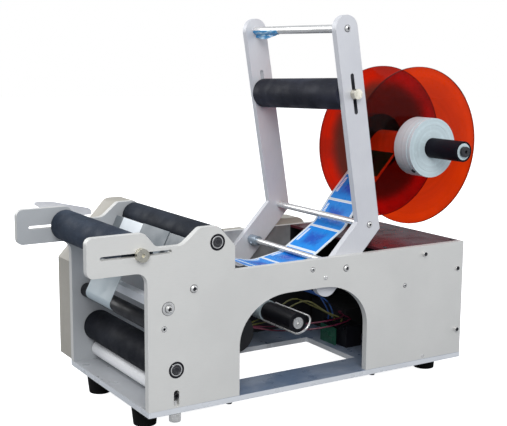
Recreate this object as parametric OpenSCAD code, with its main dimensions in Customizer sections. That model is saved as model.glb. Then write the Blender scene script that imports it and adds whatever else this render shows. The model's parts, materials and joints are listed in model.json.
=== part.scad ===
// Semi-automatic labelling machine for round bottles.
// The bottle rollers are at the low X end, the label reel at the high X end,
// the near side plate at the low Y side. Sizes are millimetres and degrees.

/* [Body] */
// Length of the base plate and of the side plates
body_len = 548; // [520:1:600]
// Width over the outer faces of the side plates
body_w = 266; // [250:1:290]
// Thickness of a side plate
side_t = 10; // [8:0.5:12]
// Thickness of the base plate
base_t = 8; // [6:0.5:10]
// Height of the side plates' long top edge above the underside of the base plate
deck_z = 186; // [180:1:196]
// Height of a rubber foot
foot_h = 28; // [20:1:34]
// Radius of a foot where it meets the base plate
foot_r = 19; // [14:1:19]
// Length of the window in the base plate
window_len = 236; // [180:1:250]
// Width of the window in the base plate
window_w = 128; // [80:1:150]

/* [Side plate outline] */
// Reach of the slotted arms in front of the body
arm_reach = 84; // [74:1:96]
// Height of a slotted arm
arm_h = 52; // [46:1:58]
// Rise of the arm's top edge above the long top edge
arm_rise = 63; // [58:1:70]
// Depth of the dip between the arm and the upper bearing
dip_drop = 21; // [16:1:22]
// Distance from the front edge to the step behind the upper bearing
step_x = 132; // [128:1:140]
// Radius of the rounded corners of the arms
arm_corner_r = 9; // [4:1:12]
// Width of the arch in the near side plate
arch_w = 221; // [200:1:240]
// Height of the arch in the near side plate
arch_h = 136; // [126:1:146]
// Distance from the front edge to the arch
arch_x = 140; // [134:1:150]

/* [Rollers] */
// Radius of the adjustable bottle roller
bottle_roller_r = 23; // [18:0.5:25]
// Radius of the upper drive roller
upper_roller_r = 20; // [16:0.5:22]
// Radius of the lower traction roller
lower_roller_r = 24; // [20:0.5:26]
// Radius of the aluminium pinch roller
pinch_roller_r = 12; // [9:0.5:13]
// Radius of the guide roller
guide_roller_r = 11; // [8:0.5:12]
// Radius of the roller between the upright arms
frame_roller_r = 23; // [16:0.5:26]
// Radius of the rewinder drum
rewinder_r = 15; // [13:0.5:17]
// Length of the rewinder drum
rewinder_len = 80; // [70:1:90]
// Wall of the rubber sleeves
rubber_t = 5; // [3:0.5:8]
// Radius of the journals that run in the ball bearings
journal_r = 4; // [3.5:0.25:5]

/* [Upright frame] */
// Height of the top rod above the side plates' long top edge
frame_rise = 323; // [280:1:340]
// Width of an upright arm
bar_w = 38; // [32:1:42]
// Thickness of an upright arm
bar_t = 10; // [6:0.5:12]
// Radius of the top rod
top_rod_r = 6; // [4:0.5:8]
// Radius of the rod at the knee
knee_rod_r = 5; // [4:0.5:7]
// Radius of the lower rod
lower_rod_r = 4.5; // [3:0.5:5]
// Length of the slot for the frame roller
frame_slot_len = 59; // [44:1:66]

/* [Reel] */
// Radius of the reel discs
disc_r = 124; // [100:1:126]
// Thickness of a reel disc
disc_t = 3; // [2:0.5:5]
// Clear gap between the reel discs
disc_gap = 84; // [60:1:90]
// Radius of the near and far hubs
hub_r = 46; // [38:1:52]
// Thickness of the near hub
near_hub_t = 36; // [28:1:40]
// Outer radius of the black tube
tube_r = 15.5; // [14:0.5:18]
// Length of the tube in front of the near hub
tube_reach = 68; // [50:1:76]
// Outer radius of what is left of the label roll
roll_r = 20; // [18:1:34]

/* [Drive] */
// Depth of the belt casing outside the far side plate
casing_d = 44; // [36:1:50]
// Radius of the motor
motor_r = 31; // [26:1:33]
// Length of the motor inside the body
motor_len = 98; // [70:1:100]

/* [Hidden] */
$fn = 64;

// Shared clearances and overruns
cut = 1;
run_gap = 0.05;
seat_gap = 0.3;
side_gap = 1.5;
arc_steps = 8;

// Planes across the machine
half_w = body_w / 2;
inner_y = half_w - side_t;
bar_inner_y = inner_y - bar_t;

// Side plate outline
arm_top_z = deck_z + arm_rise;
arm_low_z = arm_top_z - arm_h;
dip_z = arm_top_z - dip_drop;
dip_run = 18;
dip_flat = 38;
dip_climb = 26;
arm_top_len = 80;
step_h = 34;
notch_r = 16;
edge_r = 3;
arch_corner_w = 80;
arch_corner_h = 66;

// Base plate window
window_rim = 12;
window_shift = 10;

// Ball bearings
bearing_r = 11;
bearing_t = 7;
shield_r = 8;
shield_deep = 0.5;
shield_groove = 1;

// Roller places
upper_x = 104.5;
upper_drop = 22;
upper_z = arm_top_z - upper_drop;
lower_x = 41.5;
lower_rise = 52.5;
lower_z = base_t + lower_rise;
pinch_x = lower_x;
pinch_z = lower_z - lower_roller_r - pinch_roller_r - seat_gap;
guide_x = 24;
guide_rise = 58;
guide_z = lower_z + guide_rise;
bottle_x = -9;
slot_drop = 27.5;
slot_z = arm_top_z - slot_drop;
slot_front = 18;
slot_h = 5.2;
slot_len = 102;
bottle_slot_a = [-arm_reach + slot_front + slot_h / 2, slot_z];
bottle_slot_b = [-arm_reach + slot_front + slot_len - slot_h / 2, slot_z];
stud_r = 2.5;
stud_gap = 0.1;
nut_r = 9;
nut_t = 7;
roller_len = 2 * (inner_y - side_gap);
socket_r = 2.6;
socket_deep = 4;

// Pinch roller travel, slots and adjusting screws
pinch_travel = 3;
pinch_slot_r = journal_r + stud_gap;
pinch_slot_down = 11;
pinch_slot_up = 4;
pinch_axle_r = journal_r;
adjuster_r = 3;
adjuster_head_r = 8;
adjuster_head_t = 11;
adjuster_gap = 0.5;
knurl_ribs = 24;
knurl_deep = 0.6;

// Cross bar
cross_bar_x = 29;
cross_bar_rise = 27;
cross_bar_z = guide_z + cross_bar_rise;
cross_bar_w = 12;

// Upright frame
knee_back = 180;
knee_rise = 39;
top_front = 48;
low_front = 75;
low_drop = 40;
knee_x = body_len - knee_back;
top_x = knee_x - top_front;
low_x = knee_x - low_front;
top_z = deck_z + frame_rise;
knee_z = deck_z + knee_rise;
low_z = deck_z - low_drop;
bar_top = [top_x, top_z];
bar_knee = [knee_x, knee_z];
bar_low = [low_x, low_z];
bar_dir = unit(bar_top - bar_knee);
foot_dir = unit(bar_low - bar_knee);
bar_half = left_of(bar_dir) * bar_w / 2;
foot_half = left_of(foot_dir) * bar_w / 2;
knee_left = meet(bar_top + bar_half, bar_dir, bar_low - foot_half, foot_dir);
knee_right = meet(bar_top - bar_half, bar_dir, bar_low + foot_half, foot_dir);
frame_slot_r = 3.1;
frame_slot_drop = 93;
frame_slot_mid = bar_top - bar_dir * frame_slot_drop;
frame_slot_half = bar_dir * (frame_slot_len / 2 - frame_slot_r);
lower_rod_front = 54;
lower_rod_drop = 15;
lower_rod_x = knee_x - lower_rod_front;
lower_rod_z = deck_z - lower_rod_drop;
collar_r = 8;
collar_t = 20;
collar_screw_r = 2.5;
collar_screw_h = 2;
collar_screw_turn = -120;
collar_y = bar_inner_y - collar_t - seat_gap;

// Frame roller: its far end is clamped lower in its slot than its near end
frame_lean = 1.8;
frame_stud_r = 3;
frame_nut_r = 7.5;
frame_nut_t = 9;
frame_nut_gap = 0.6;
frame_roller_mid = frame_slot_mid - bar_dir * inner_y * tan(frame_lean);

// Reel
reel_back = 33;
reel_rise = 143;
reel_x = body_len - reel_back;
reel_z = deck_z + reel_rise;
reel_y = -10;
near_disc_y = reel_y - disc_gap / 2 - disc_t;
far_disc_y = reel_y + disc_gap / 2;
far_hub_t = 20;
hub_groove_w = 2;
hub_groove_deep = 1;
hub_groove_y = near_disc_y - near_hub_t + hub_groove_w * 3;
tube_end = 1;
tube_near_y = near_disc_y - near_hub_t - tube_reach;
tube_far_y = far_disc_y + disc_t + far_hub_t + tube_end;
ring_wall = 3;
ring_r = tube_r - ring_wall;
ring_t = 7;
axle_r = 4;
axle_head_r = 8;
axle_head_t = 5;
post_t = 12;
post_w = 40;
post_gap = 2;
post_y = tube_far_y + post_gap;
post_foot_front = 17;
post_foot_x = reel_x - post_foot_front;
post_foot_len = 56;
post_foot_w = 44;
post_foot_t = 8;
post_boss_r = 14;
post_boss_t = 8;

// Peel plate
peel_x = 76;
peel_rise = 2.5;
peel_z = upper_z + peel_rise;
peel_front = [-12, -24];
peel_under = 3;
peel_long = 50;
peel_fold = 12.5;
peel_shelf_drop = 5;
peel_t = 2.4;
peel_shelf_z = upper_z - upper_roller_r - peel_shelf_drop;
peel_lip = [peel_x, peel_z];
peel_back = [peel_x + peel_long, peel_shelf_z];

// Label web: places from the knee and from the lower rod, then a share of the way from the sag to the peel plate
web_t = 0.6;
web_side_gap = 1.5;
web_w = disc_gap - 2 * web_side_gap;
web_y = reel_y - web_w / 2;
web_gap = 0.35;
web_turn_r = 2;
web_fold_r = 6;
web_bend_r = 25;
web_sag_r = 70;
web_upper = [40, 20];
web_knee = [12, -17];
web_sag = [-52, -15];
web_rise_share = [0.42, 0.24];
tail_bend = [2, -10];
tail_end = [-21, -54];
tail_r = 14;

// Stop arm corners from the top of the far plate's slotted arm
stop_t = 4;
stop_tip = [-58, 9];
stop_top = [-24, 7];
stop_rear = [38, -8];
stop_under = -17;
stop_front = -20;
stop_tip_r = 2.5;
stop_top_r = 40;
stop_rear_r = 7;

// Rear end
cover_t = 4;
cover_len = 150;
cover_x = body_len - cover_len;
panel_t = 8;
beam_back = 69;
beam_x = body_len - beam_back;
beam_w = 38;
beam_h = 20;

// Drive
casing_wall = 2;
casing_lift = 2;
casing_low = base_t + casing_lift;
casing_front_z = 163;
casing_crest_front = 24;
casing_crest_back = 10;
casing_crest_r = 15;
casing_back = 218;
casing_rear_x = body_len - casing_back;
casing_drop = 6;
motor_front = 98;
motor_rise = 35;
motor_x = casing_rear_x - motor_front;
motor_z = base_t + motor_rise;
motor_boss_r = 12;
motor_boss_t = 6;
gearbox_t = 10;
gearbox_step = 2;
rewinder_front = 35.5;
rewinder_rise = 62;
rewinder_x = casing_rear_x - rewinder_front;
rewinder_z = base_t + rewinder_rise;
rewinder_near_y = reel_y - rewinder_len / 2;
rewinder_far_y = reel_y + rewinder_len / 2;
rewinder_cap_r = 9;
rewinder_cap_t = 2;
housing_r = 17;
clip_r = 1.6;
clip_reach = 9;
clip_short = 3;
clip_tilt = 48;
pulley_t = 9;
pulley_gap = 2;
pulley_y = half_w + pulley_gap;
plane_gap = 2;
first_plane_y = pulley_y;
second_plane_y = pulley_y + pulley_t + plane_gap;
drive_end_y = second_plane_y + pulley_t;
belt_t = 1.5;
belt_gap = 0.3;
lower_pulley_r = 12;
upper_pulley_r = 10;
motor_pulley_r = 8;
rewinder_pulley_r = 7.5;

// Black liner on the far plate behind the arch
liner_t = 2;
liner_len = 290;
liner_h = 114;
liner_front = 10;
liner_gap = 1;

// Control box on the far side plate
control_back = 182;
control_x = body_len - control_back;
control_w = 70;
control_d = 34;
control_low = 60;
control_rise = 10;
control_top = deck_z + control_rise;
control_r = 20;
control_mid_x = control_x + control_w / 2;
control_face_y = half_w + control_d;
switch_w = 14;
switch_h = 20;
switch_t = 6;
switch_gap = 0.5;
switch_edge = 1;
switch_rock = 2;
switch_z = 100;
pivot_r = 1.5;
pivot_stub = 2;
pivot_y = control_face_y - switch_t / 2;
knob_r = 13;
knob_t = 14;
knob_z = 150;
knob_shaft = 13;
knob_mark_w = 1.5;
knob_mark_deep = 1;
inlet_w = 28;
inlet_h = 20;
inlet_deep = 10;

// Electrics inside the rear of the body
supply_back = 8;
supply_len = 90;
supply_w = 96;
supply_h = 46;
supply_gap = 4;
supply_x = body_len - panel_t - supply_len - supply_back;
supply_y = inner_y - supply_w - supply_gap;
block_gap = 7;
block_len = 30;
block_w = 62;
block_h = 34;
block_back = 51;
block_x = supply_x - block_len - block_gap;
block_y = supply_y - block_back;
block_ways = 5;
way_w = 8;
way_deep = 6;
board_gap = 5;
board_t = 2;
board_w = 40;
board_h = 28;
board_back = 20;
board_x = block_x - board_t - board_gap;
board_y = block_y + board_back;
board_part_t = 2;
board_part_w = 8;

// Leads: routes from the block's low corner on the base plate's top face
lead_r = 1.3;
lead_sides = 8;
lead_steps = 4;
lead_start = motor_x + motor_r - block_x;
liner_face = inner_y - liner_t - block_y;
yellow_route = [
    [lead_start, 92, 35], [lead_start + 13, 92, 35], [-85, 90, 48], [-47, 84, 68],
    [-21, 72, 58], [-1, 52, 46], [7, 42, 39], [7, 42, block_h]
];
green_route = [
    [lead_start, 84, 35], [lead_start + 13, 84, 35], [-83, 82, 40], [-53, 78, 58],
    [-29, 66, 66], [-7, 46, 50], [13, 32, 40], [13, 32, block_h]
];
blue_route = [
    [-13, liner_face, 74], [-13, 138, 74], [-11, 108, 76], [-9, 78, 76], [-5, 62, 68], [5, 56, 46], [5, 56, block_h]
];
white_route = [
    [-3, liner_face, 70], [-3, 138, 70], [-1, 110, 70], [3, 84, 68], [11, 66, 60], [15, 58, 44], [15, 58, block_h]
];
red_route = [
    [lead_start, 76, 35], [lead_start + 11, 76, 35], [-95, 62, 34], [-55, 32, 40],
    [-17, 18, 44], [19, 34, 42], [31, 62, 41], [block_len + block_gap, 62, 41]
];
purple_route = [
    [lead_start, 68, 35], [lead_start + 11, 68, 35], [-97, 50, 30], [-57, 20, 34],
    [-17, 6, 39], [23, 20, 40], [32, 56, 37], [block_len + block_gap, 56, 37]
];

// Foot places
foot_front_x = 22;
foot_rear_x = 22;
foot_side = 57;
foot_taper = 3;

// Outer limits of the whole machine
front_end = -arm_reach;
rear_end = max(body_len, reel_x + disc_r);
near_end = min(tube_near_y - seat_gap - axle_head_t, -half_w - seat_gap - nut_t);
far_end = half_w + max(casing_d, control_d + knob_t);

// Unit vector
function unit(v) = v / norm(v);

// Direction at an angle in a plane
function heading(t) = [cos(t), sin(t)];

// Left-hand normal of a direction
function left_of(v) = [-v[1], v[0]];

// Point where two lines meet, each given by a point and a direction
function meet(p, u, q, v) = p + u * ((q - p) * left_of(v)) / (u * left_of(v));

// Points that round the corner at b between a and c
function fillet(a, b, c, r) =
    let(
        u = unit(a - b),
        v = unit(c - b),
        half = acos(u * v) / 2,
        m = b + unit(u + v) * r / sin(half),
        s = b + u * r / tan(half) - m,
        e = b + v * r / tan(half) - m,
        start = atan2(s[1], s[0]),
        sweep = (atan2(e[1], e[0]) - start + 540) % 360 - 180
    )
    [for (i = [0 : arc_steps])
        m + r * heading(start + sweep * i / arc_steps)];

// Outline from corners given as [x, z, radius]
function rounded(corners) =
    let(n = len(corners), p = [for (c = corners) [c[0], c[1]]])
    [for (i = [0 : n - 1])
        each corners[i][2] > 0
            ? fillet(p[(i + n - 1) % n], p[i], p[(i + 1) % n], corners[i][2])
            : [p[i]]];

// Closed outline moved to the right of its own direction by a gap
function beside(p, gap) =
    let(n = len(p))
    [for (i = [0 : n - 1])
        let(
            u = unit(p[i] - p[(i + n - 1) % n]),
            v = unit(p[(i + 1) % n] - p[i])
        )
        meet(p[i] - left_of(u) * gap, u, p[i] - left_of(v) * gap, v)];

// Open line with its inner corners, given as [point, radius], rounded
function path(c) =
    [
        c[0][0],
        for (i = [1 : len(c) - 2]) each fillet(c[i - 1][0], c[i][0], c[i + 1][0], c[i][1]),
        c[len(c) - 1][0]
    ];

// Outline of a thin band that follows an open line
function band(p, t) =
    let(
        n = len(p),
        d = [for (i = [0 : n - 2]) unit(p[i + 1] - p[i])],
        m = [for (i = [0 : n - 1])
            let(
                a = d[max(i - 1, 0)],
                s = left_of(unit(a + d[min(i, n - 2)]))
            )
            s * t / 2 / (s * left_of(a))]
    )
    [
        for (i = [0 : n - 1]) p[i] + m[i],
        for (i = [n - 1 : -1 : 0]) p[i] - m[i]
    ];

// Extrudes an X-Z outline across the machine from y0 over a depth
module across(y0, depth) {
    translate([0, y0 + depth, 0])
        rotate([90, 0, 0])
            linear_extrude(depth)
                children();
}

// Round bar across the machine
module bar_y(x, z, y0, y1, r) {
    translate([x, y1, z])
        rotate([90, 0, 0])
            cylinder(h = y1 - y0, r = r);
}

// Hexagonal socket in a face that looks towards -Y (side = -1) or +Y (side = 1)
module socket_y(x, z, y, side, r, deep) {
    translate([x, y + (side > 0 ? cut : deep), z])
        rotate([90, 0, 0])
            cylinder(h = deep + cut, r = r, $fn = 6);
}

// Round-ended slot through a plate from y0 over a depth
module slot_y(a, b, r, y0, depth) {
    d = unit(b - a);
    n = left_of(d) * r;
    across(y0 - cut, depth + 2 * cut)
        polygon([a + n, b + n, b - n, a - n]);
    bar_y(a[0], a[1], y0 - cut, y0 + depth + cut, r);
    bar_y(b[0], b[1], y0 - cut, y0 + depth + cut, r);
}

// Side plates

function side_outline() = rounded([
    [0, base_t, 0],
    [0, arm_low_z, notch_r],
    [-arm_reach, arm_low_z, arm_corner_r],
    [-arm_reach, arm_top_z, arm_corner_r],
    [arm_top_len - arm_reach, arm_top_z, arm_corner_r],
    [arm_top_len - arm_reach + dip_run, dip_z, notch_r],
    [arm_top_len - arm_reach + dip_run + dip_flat, dip_z, notch_r],
    [arm_top_len - arm_reach + dip_run + dip_flat + dip_climb, arm_top_z, arm_corner_r],
    [step_x - dip_climb, arm_top_z, arm_corner_r],
    [step_x, deck_z + step_h, edge_r],
    [step_x, deck_z, edge_r],
    [body_len, deck_z, 0],
    [body_len, base_t, 0]
]);

// Quarter-ellipse corners between straight sides
function arch_outline() = [
    [arch_x, base_t - cut],
    for (i = [0 : arc_steps * 2])
        let(t = i * 45 / arc_steps)
        [arch_x + arch_corner_w * (1 - cos(t)), base_t + arch_h - arch_corner_h * (1 - sin(t))],
    for (i = [0 : arc_steps * 2])
        let(t = i * 45 / arc_steps)
        [arch_x + arch_w - arch_corner_w * (1 - sin(t)), base_t + arch_h - arch_corner_h * (1 - cos(t))],
    [arch_x + arch_w, base_t - cut]
];

module side_blank(y0) {
    difference() {
        across(y0, side_t) polygon(side_outline());
        bar_y(upper_x, upper_z, y0 - cut, y0 + side_t + cut, bearing_r + run_gap);
        bar_y(lower_x, lower_z, y0 - cut, y0 + side_t + cut, bearing_r + run_gap);
        bar_y(guide_x, guide_z, y0 - cut, y0 + side_t + cut, journal_r + run_gap);
        slot_y(bottle_slot_a, bottle_slot_b, slot_h / 2, y0, side_t);
        slot_y([pinch_x, pinch_z - pinch_slot_down], [pinch_x, pinch_z + pinch_slot_up], pinch_slot_r, y0, side_t);
        translate([pinch_x, y0 + side_t / 2, base_t - cut])
            cylinder(h = pinch_z - base_t, r = adjuster_r + run_gap);
    }
}

module near_plate() {
    color("silver")
        difference() {
            side_blank(-half_w);
            across(-half_w - cut, side_t + 2 * cut) polygon(arch_outline());
        }
}

module far_plate() {
    color("silver")
        difference() {
            side_blank(inner_y);
            bar_y(motor_x, motor_z, inner_y - cut, half_w + cut, motor_boss_r + run_gap);
            bar_y(rewinder_x, rewinder_z, inner_y - cut, half_w + cut, journal_r + side_gap);
        }
}

// Base, rear panel and cover

module base_plate() {
    color("lightgray")
        difference() {
            translate([0, -half_w, 0])
                cube([body_len, body_w, base_t]);
            translate([board_x - window_rim - window_len, -window_w / 2 - window_shift, -cut])
                cube([window_len, window_w, base_t + 2 * cut]);
            for (s = [-1, 1])
                translate([pinch_x, s * (half_w - side_t / 2), -cut])
                    cylinder(h = base_t + 2 * cut, r = adjuster_r + run_gap);
        }
}

module feet() {
    color([0.08, 0.08, 0.08])
        for (x = [foot_front_x, body_len - foot_rear_x])
            for (s = [-1, 1])
                translate([x, s * (half_w - foot_side), -foot_h])
                    cylinder(h = foot_h, r1 = foot_r - foot_taper, r2 = foot_r);
}

module end_panel() {
    color("lightgray")
        translate([body_len - panel_t, -inner_y, base_t])
            cube([panel_t, 2 * inner_y, deck_z - cover_t - base_t]);
}

module top_cover() {
    color([0.16, 0.07, 0.07])
        translate([cover_x, -inner_y, deck_z - cover_t])
            cube([body_len - cover_x, 2 * inner_y, cover_t]);
}

module deck_beam() {
    color("silver")
        translate([beam_x, -inner_y, deck_z - cover_t - beam_h])
            cube([beam_w, 2 * inner_y, beam_h]);
}

module cross_bar() {
    color("white")
        translate([cross_bar_x - cross_bar_w / 2, -inner_y, cross_bar_z - cross_bar_w / 2])
            cube([cross_bar_w, 2 * inner_y, cross_bar_w]);
}

// Ball bearings: outer and inner rings with a sunk shield between them

module bearing_ring(y0) {
    rotate_extrude_y(y0) polygon([
        [journal_r + run_gap, 0],
        [shield_r - shield_groove, 0],
        [shield_r - shield_groove, shield_deep],
        [shield_r + shield_groove, shield_deep],
        [shield_r + shield_groove, 0],
        [bearing_r, 0],
        [bearing_r, bearing_t],
        [journal_r + run_gap, bearing_t]
    ]);
}

// Revolves an outline of [radius, depth] points about the Y axis, from y0 on
module rotate_extrude_y(y0) {
    translate([0, y0, 0])
        rotate([-90, 0, 0])
            rotate_extrude()
                children();
}

module bearings() {
    color("dimgray")
        for (p = [[upper_x, upper_z], [lower_x, lower_z]]) {
            translate([p[0], 0, p[1]]) bearing_ring(-half_w);
            translate([p[0], 0, p[1]]) mirror([0, 1, 0]) bearing_ring(-half_w);
        }
}

// Driven rollers: a core with journals, a rubber sleeve and a pulley

module roller_core(x, z, r, far_y) {
    difference() {
        union() {
            bar_y(x, z, -roller_len / 2, roller_len / 2, r);
            bar_y(x, z, -half_w, far_y, journal_r);
        }
        socket_y(x, z, -half_w, -1, socket_r, socket_deep);
    }
}

module sleeve(x, z, r, inner_r, len) {
    difference() {
        bar_y(x, z, -len / 2, len / 2, r);
        bar_y(x, z, -len / 2 - cut, len / 2 + cut, inner_r);
    }
}

module pulley(x, z, r, y0, t) {
    difference() {
        bar_y(x, z, y0, y0 + t, r);
        bar_y(x, z, y0 - cut, y0 + t + cut, journal_r);
    }
}

module lower_core() {
    color("gray") roller_core(lower_x, lower_z, lower_roller_r - rubber_t, drive_end_y);
}

module lower_sleeve() {
    color([0.1, 0.1, 0.11])
        sleeve(lower_x, lower_z, lower_roller_r, lower_roller_r - rubber_t, roller_len);
}

module lower_pulley() {
    color("silver") pulley(lower_x, lower_z, lower_pulley_r, first_plane_y, drive_end_y - first_plane_y);
}

module upper_core() {
    color("gray") roller_core(upper_x, upper_z, upper_roller_r - rubber_t, drive_end_y);
}

module upper_sleeve() {
    color([0.1, 0.1, 0.11])
        sleeve(upper_x, upper_z, upper_roller_r, upper_roller_r - rubber_t, roller_len);
}

module upper_pulley() {
    color("silver") pulley(upper_x, upper_z, upper_pulley_r, second_plane_y, pulley_t);
}

module guide_roller() {
    color([0.12, 0.12, 0.13])
        difference() {
            union() {
                bar_y(guide_x, guide_z, -roller_len / 2, roller_len / 2, guide_roller_r);
                bar_y(guide_x, guide_z, -half_w, half_w, journal_r);
            }
            socket_y(guide_x, guide_z, -half_w, -1, socket_r, socket_deep);
        }
}

// Pinch roller on a sprung axle

module pinch_axle() {
    color([0.2, 0.2, 0.2])
        difference() {
            bar_y(pinch_x, pinch_z, -half_w, half_w, pinch_axle_r);
            socket_y(pinch_x, pinch_z, -half_w, -1, socket_r, socket_deep);
        }
}

module pinch_roller() {
    color("whitesmoke")
        sleeve(pinch_x, pinch_z, pinch_roller_r, pinch_axle_r + run_gap, roller_len);
}

module adjuster(side) {
    tip = pinch_z - pinch_axle_r - pinch_travel - seat_gap;
    color("silver")
        translate([pinch_x, side * (half_w - side_t / 2), 0]) {
            translate([0, 0, -adjuster_gap]) cylinder(h = tip + adjuster_gap, r = adjuster_r);
            translate([0, 0, -adjuster_gap - adjuster_head_t])
                linear_extrude(adjuster_head_t)
                    polygon([for (i = [0 : 2 * knurl_ribs - 1])
                        (adjuster_head_r - knurl_deep * (i % 2)) * heading(180 * i / knurl_ribs)]);
        }
}

module near_adjuster() {
    adjuster(-1);
}

module far_adjuster() {
    adjuster(1);
}

// Bottle roller that slides in the arms

module bottle_axle() {
    color("wheat")
        difference() {
            union() {
                bar_y(bottle_x, slot_z, -half_w - seat_gap, half_w + seat_gap, stud_r);
                for (s = [-1, 1])
                    bar_y(bottle_x, slot_z,
                        s > 0 ? half_w + seat_gap : -half_w - seat_gap - nut_t,
                        s > 0 ? half_w + seat_gap + nut_t : -half_w - seat_gap, nut_r);
            }
            socket_y(bottle_x, slot_z, -half_w - seat_gap - nut_t, -1, stud_r, socket_deep);
        }
}

module bottle_sleeve() {
    color([0.12, 0.12, 0.14])
        sleeve(bottle_x, slot_z, bottle_roller_r, stud_r + run_gap, roller_len);
}

// Upright frame

module upright_arm(y0) {
    color([0.8, 0.81, 0.84])
        difference() {
            union() {
                across(y0, bar_t)
                    polygon([
                        bar_top + bar_half, bar_top - bar_half, knee_right,
                        bar_low + foot_half, bar_low - foot_half, knee_left
                    ]);
                bar_y(bar_top[0], bar_top[1], y0, y0 + bar_t, bar_w / 2);
                bar_y(bar_low[0], bar_low[1], y0, y0 + bar_t, bar_w / 2);
            }
            slot_y(frame_slot_mid - frame_slot_half, frame_slot_mid + frame_slot_half, frame_slot_r, y0, bar_t);
        }
}

module near_arm() {
    upright_arm(-inner_y);
}

module far_arm() {
    upright_arm(bar_inner_y);
}

module top_rod() {
    color("silver") bar_y(top_x, top_z, -bar_inner_y, bar_inner_y, top_rod_r);
}

module knee_rod() {
    color("silver") bar_y(knee_x, knee_z, -bar_inner_y, bar_inner_y, knee_rod_r);
}

module lower_rod() {
    color("silver") bar_y(lower_rod_x, lower_rod_z, -bar_inner_y, bar_inner_y, lower_rod_r);
}

module guide_collar() {
    color("gainsboro")
        difference() {
            bar_y(lower_rod_x, lower_rod_z, collar_y, collar_y + collar_t, collar_r);
            bar_y(lower_rod_x, lower_rod_z, collar_y - cut, collar_y + collar_t + cut, lower_rod_r + run_gap);
        }
    color([0.2, 0.2, 0.2])
        translate([lower_rod_x, collar_y + collar_t / 2, lower_rod_z])
            rotate([0, collar_screw_turn, 0])
                difference() {
                    translate([0, 0, collar_r]) cylinder(h = collar_screw_h, r = collar_screw_r);
                    translate([0, 0, collar_r + collar_screw_h / 2])
                        cylinder(h = collar_screw_h, r = collar_screw_r / 2, $fn = 6);
                }
}

// Places the frame roller's parts, drawn along the Y axis, in the slots of the upright arms
module leaned() {
    translate([frame_roller_mid[0], 0, frame_roller_mid[1]])
        rotate(a = frame_lean, v = [-bar_dir[1], 0, bar_dir[0]])
            children();
}

module frame_axle() {
    stud_end = inner_y + frame_nut_gap;
    color("wheat")
        leaned() {
            bar_y(0, 0, -stud_end, stud_end, frame_stud_r);
            bar_y(0, 0, -stud_end - frame_nut_t, -stud_end, frame_nut_r);
            bar_y(0, 0, stud_end, stud_end + frame_nut_t, frame_nut_r);
        }
}

module frame_sleeve() {
    color([0.12, 0.12, 0.14])
        leaned()
            sleeve(0, 0, frame_roller_r, frame_stud_r + run_gap, 2 * (bar_inner_y - side_gap));
}

// Peel plate: a folded wedge whose lip stands close in front of the upper drive roller

// Counterclockwise from the lip
function peel_outline() = [
    peel_lip,
    peel_lip + peel_front,
    [peel_x + peel_front[0] + peel_under, peel_shelf_z - peel_t],
    peel_back - [0, peel_t],
    peel_back,
    [peel_x + peel_fold, peel_shelf_z]
];

module peel_plate() {
    color("whitesmoke") across(-inner_y, 2 * inner_y) polygon(peel_outline());
}

// Flat arm with a rounded rear end on the outer side of the far plate
module stop_arm() {
    color("gainsboro")
        translate([0, 0, arm_top_z])
            across(half_w, stop_t) polygon(rounded([
                [each stop_tip, stop_tip_r],
                [each stop_top, stop_top_r],
                [each stop_rear, stop_rear_r],
                [stop_rear[0], stop_under, edge_r / 2],
                [stop_front, stop_under, edge_r]
            ]));
}

// Drive casing and belts

function casing_outline() = rounded([
    [0, casing_low, 0],
    [0, casing_front_z, 0],
    [upper_x - casing_crest_front, arm_top_z, casing_crest_r],
    [upper_x + casing_crest_back, arm_top_z, casing_crest_r],
    [step_x - casing_drop, deck_z + step_h - casing_drop, 0],
    [step_x - casing_drop, deck_z - casing_drop, 0],
    [casing_rear_x, deck_z - casing_drop, 0],
    [casing_rear_x, casing_low, 0]
]);

module drive_casing() {
    color([0.84, 0.82, 0.74])
        difference() {
            across(half_w, casing_d) polygon(casing_outline());
            across(half_w - cut, casing_d - casing_wall + cut) polygon(beside(casing_outline(), casing_wall));
        }
}

// Outline of a belt round two pulleys
function belt_outline(a, ra, b, rb) =
    let(
        line = b - a,
        along = atan2(line[1], line[0]),
        lean = acos((ra - rb) / norm(line))
    )
    [
        for (i = [0 : arc_steps * 2])
            let(t = along + lean + (360 - 2 * lean) * i / (arc_steps * 2))
            a + ra * heading(t),
        for (i = [0 : arc_steps * 2])
            let(t = along - lean + 2 * lean * i / (arc_steps * 2))
            b + rb * heading(t)
    ];

module belt(a, ra, b, rb, y0) {
    // The polygon's corners lie on the arcs, so the inner line is opened to clear the round pulley
    open_r = belt_gap / cos(180 / (arc_steps * 2)) + max(ra, rb) * (1 / cos(180 / (arc_steps * 2)) - 1);
    across(y0, pulley_t)
        difference() {
            polygon(belt_outline(a, ra + open_r + belt_t, b, rb + open_r + belt_t));
            polygon(belt_outline(a, ra + open_r, b, rb + open_r));
        }
}

module belts() {
    color([0.13, 0.13, 0.13]) {
        belt([motor_x, motor_z], motor_pulley_r, [lower_x, lower_z], lower_pulley_r, first_plane_y);
        belt([upper_x, upper_z], upper_pulley_r, [lower_x, lower_z], lower_pulley_r, second_plane_y);
        belt([motor_x, motor_z], motor_pulley_r, [rewinder_x, rewinder_z], rewinder_pulley_r, second_plane_y);
    }
}

module motor() {
    color([0.15, 0.15, 0.16])
        difference() {
            union() {
                bar_y(motor_x, motor_z, inner_y - motor_len, inner_y - gearbox_t, motor_r);
                bar_y(motor_x, motor_z, inner_y - gearbox_t, inner_y, motor_r - gearbox_step);
                bar_y(motor_x, motor_z, inner_y, inner_y + motor_boss_t, motor_boss_r);
            }
            bar_y(motor_x, motor_z, inner_y - gearbox_t, inner_y + motor_boss_t + cut, journal_r + run_gap);
        }
}

module motor_pulley() {
    color("silver") {
        bar_y(motor_x, motor_z, inner_y - gearbox_t + seat_gap, drive_end_y, journal_r);
        pulley(motor_x, motor_z, motor_pulley_r, first_plane_y, drive_end_y - first_plane_y);
    }
}

// Rewinder

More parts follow.
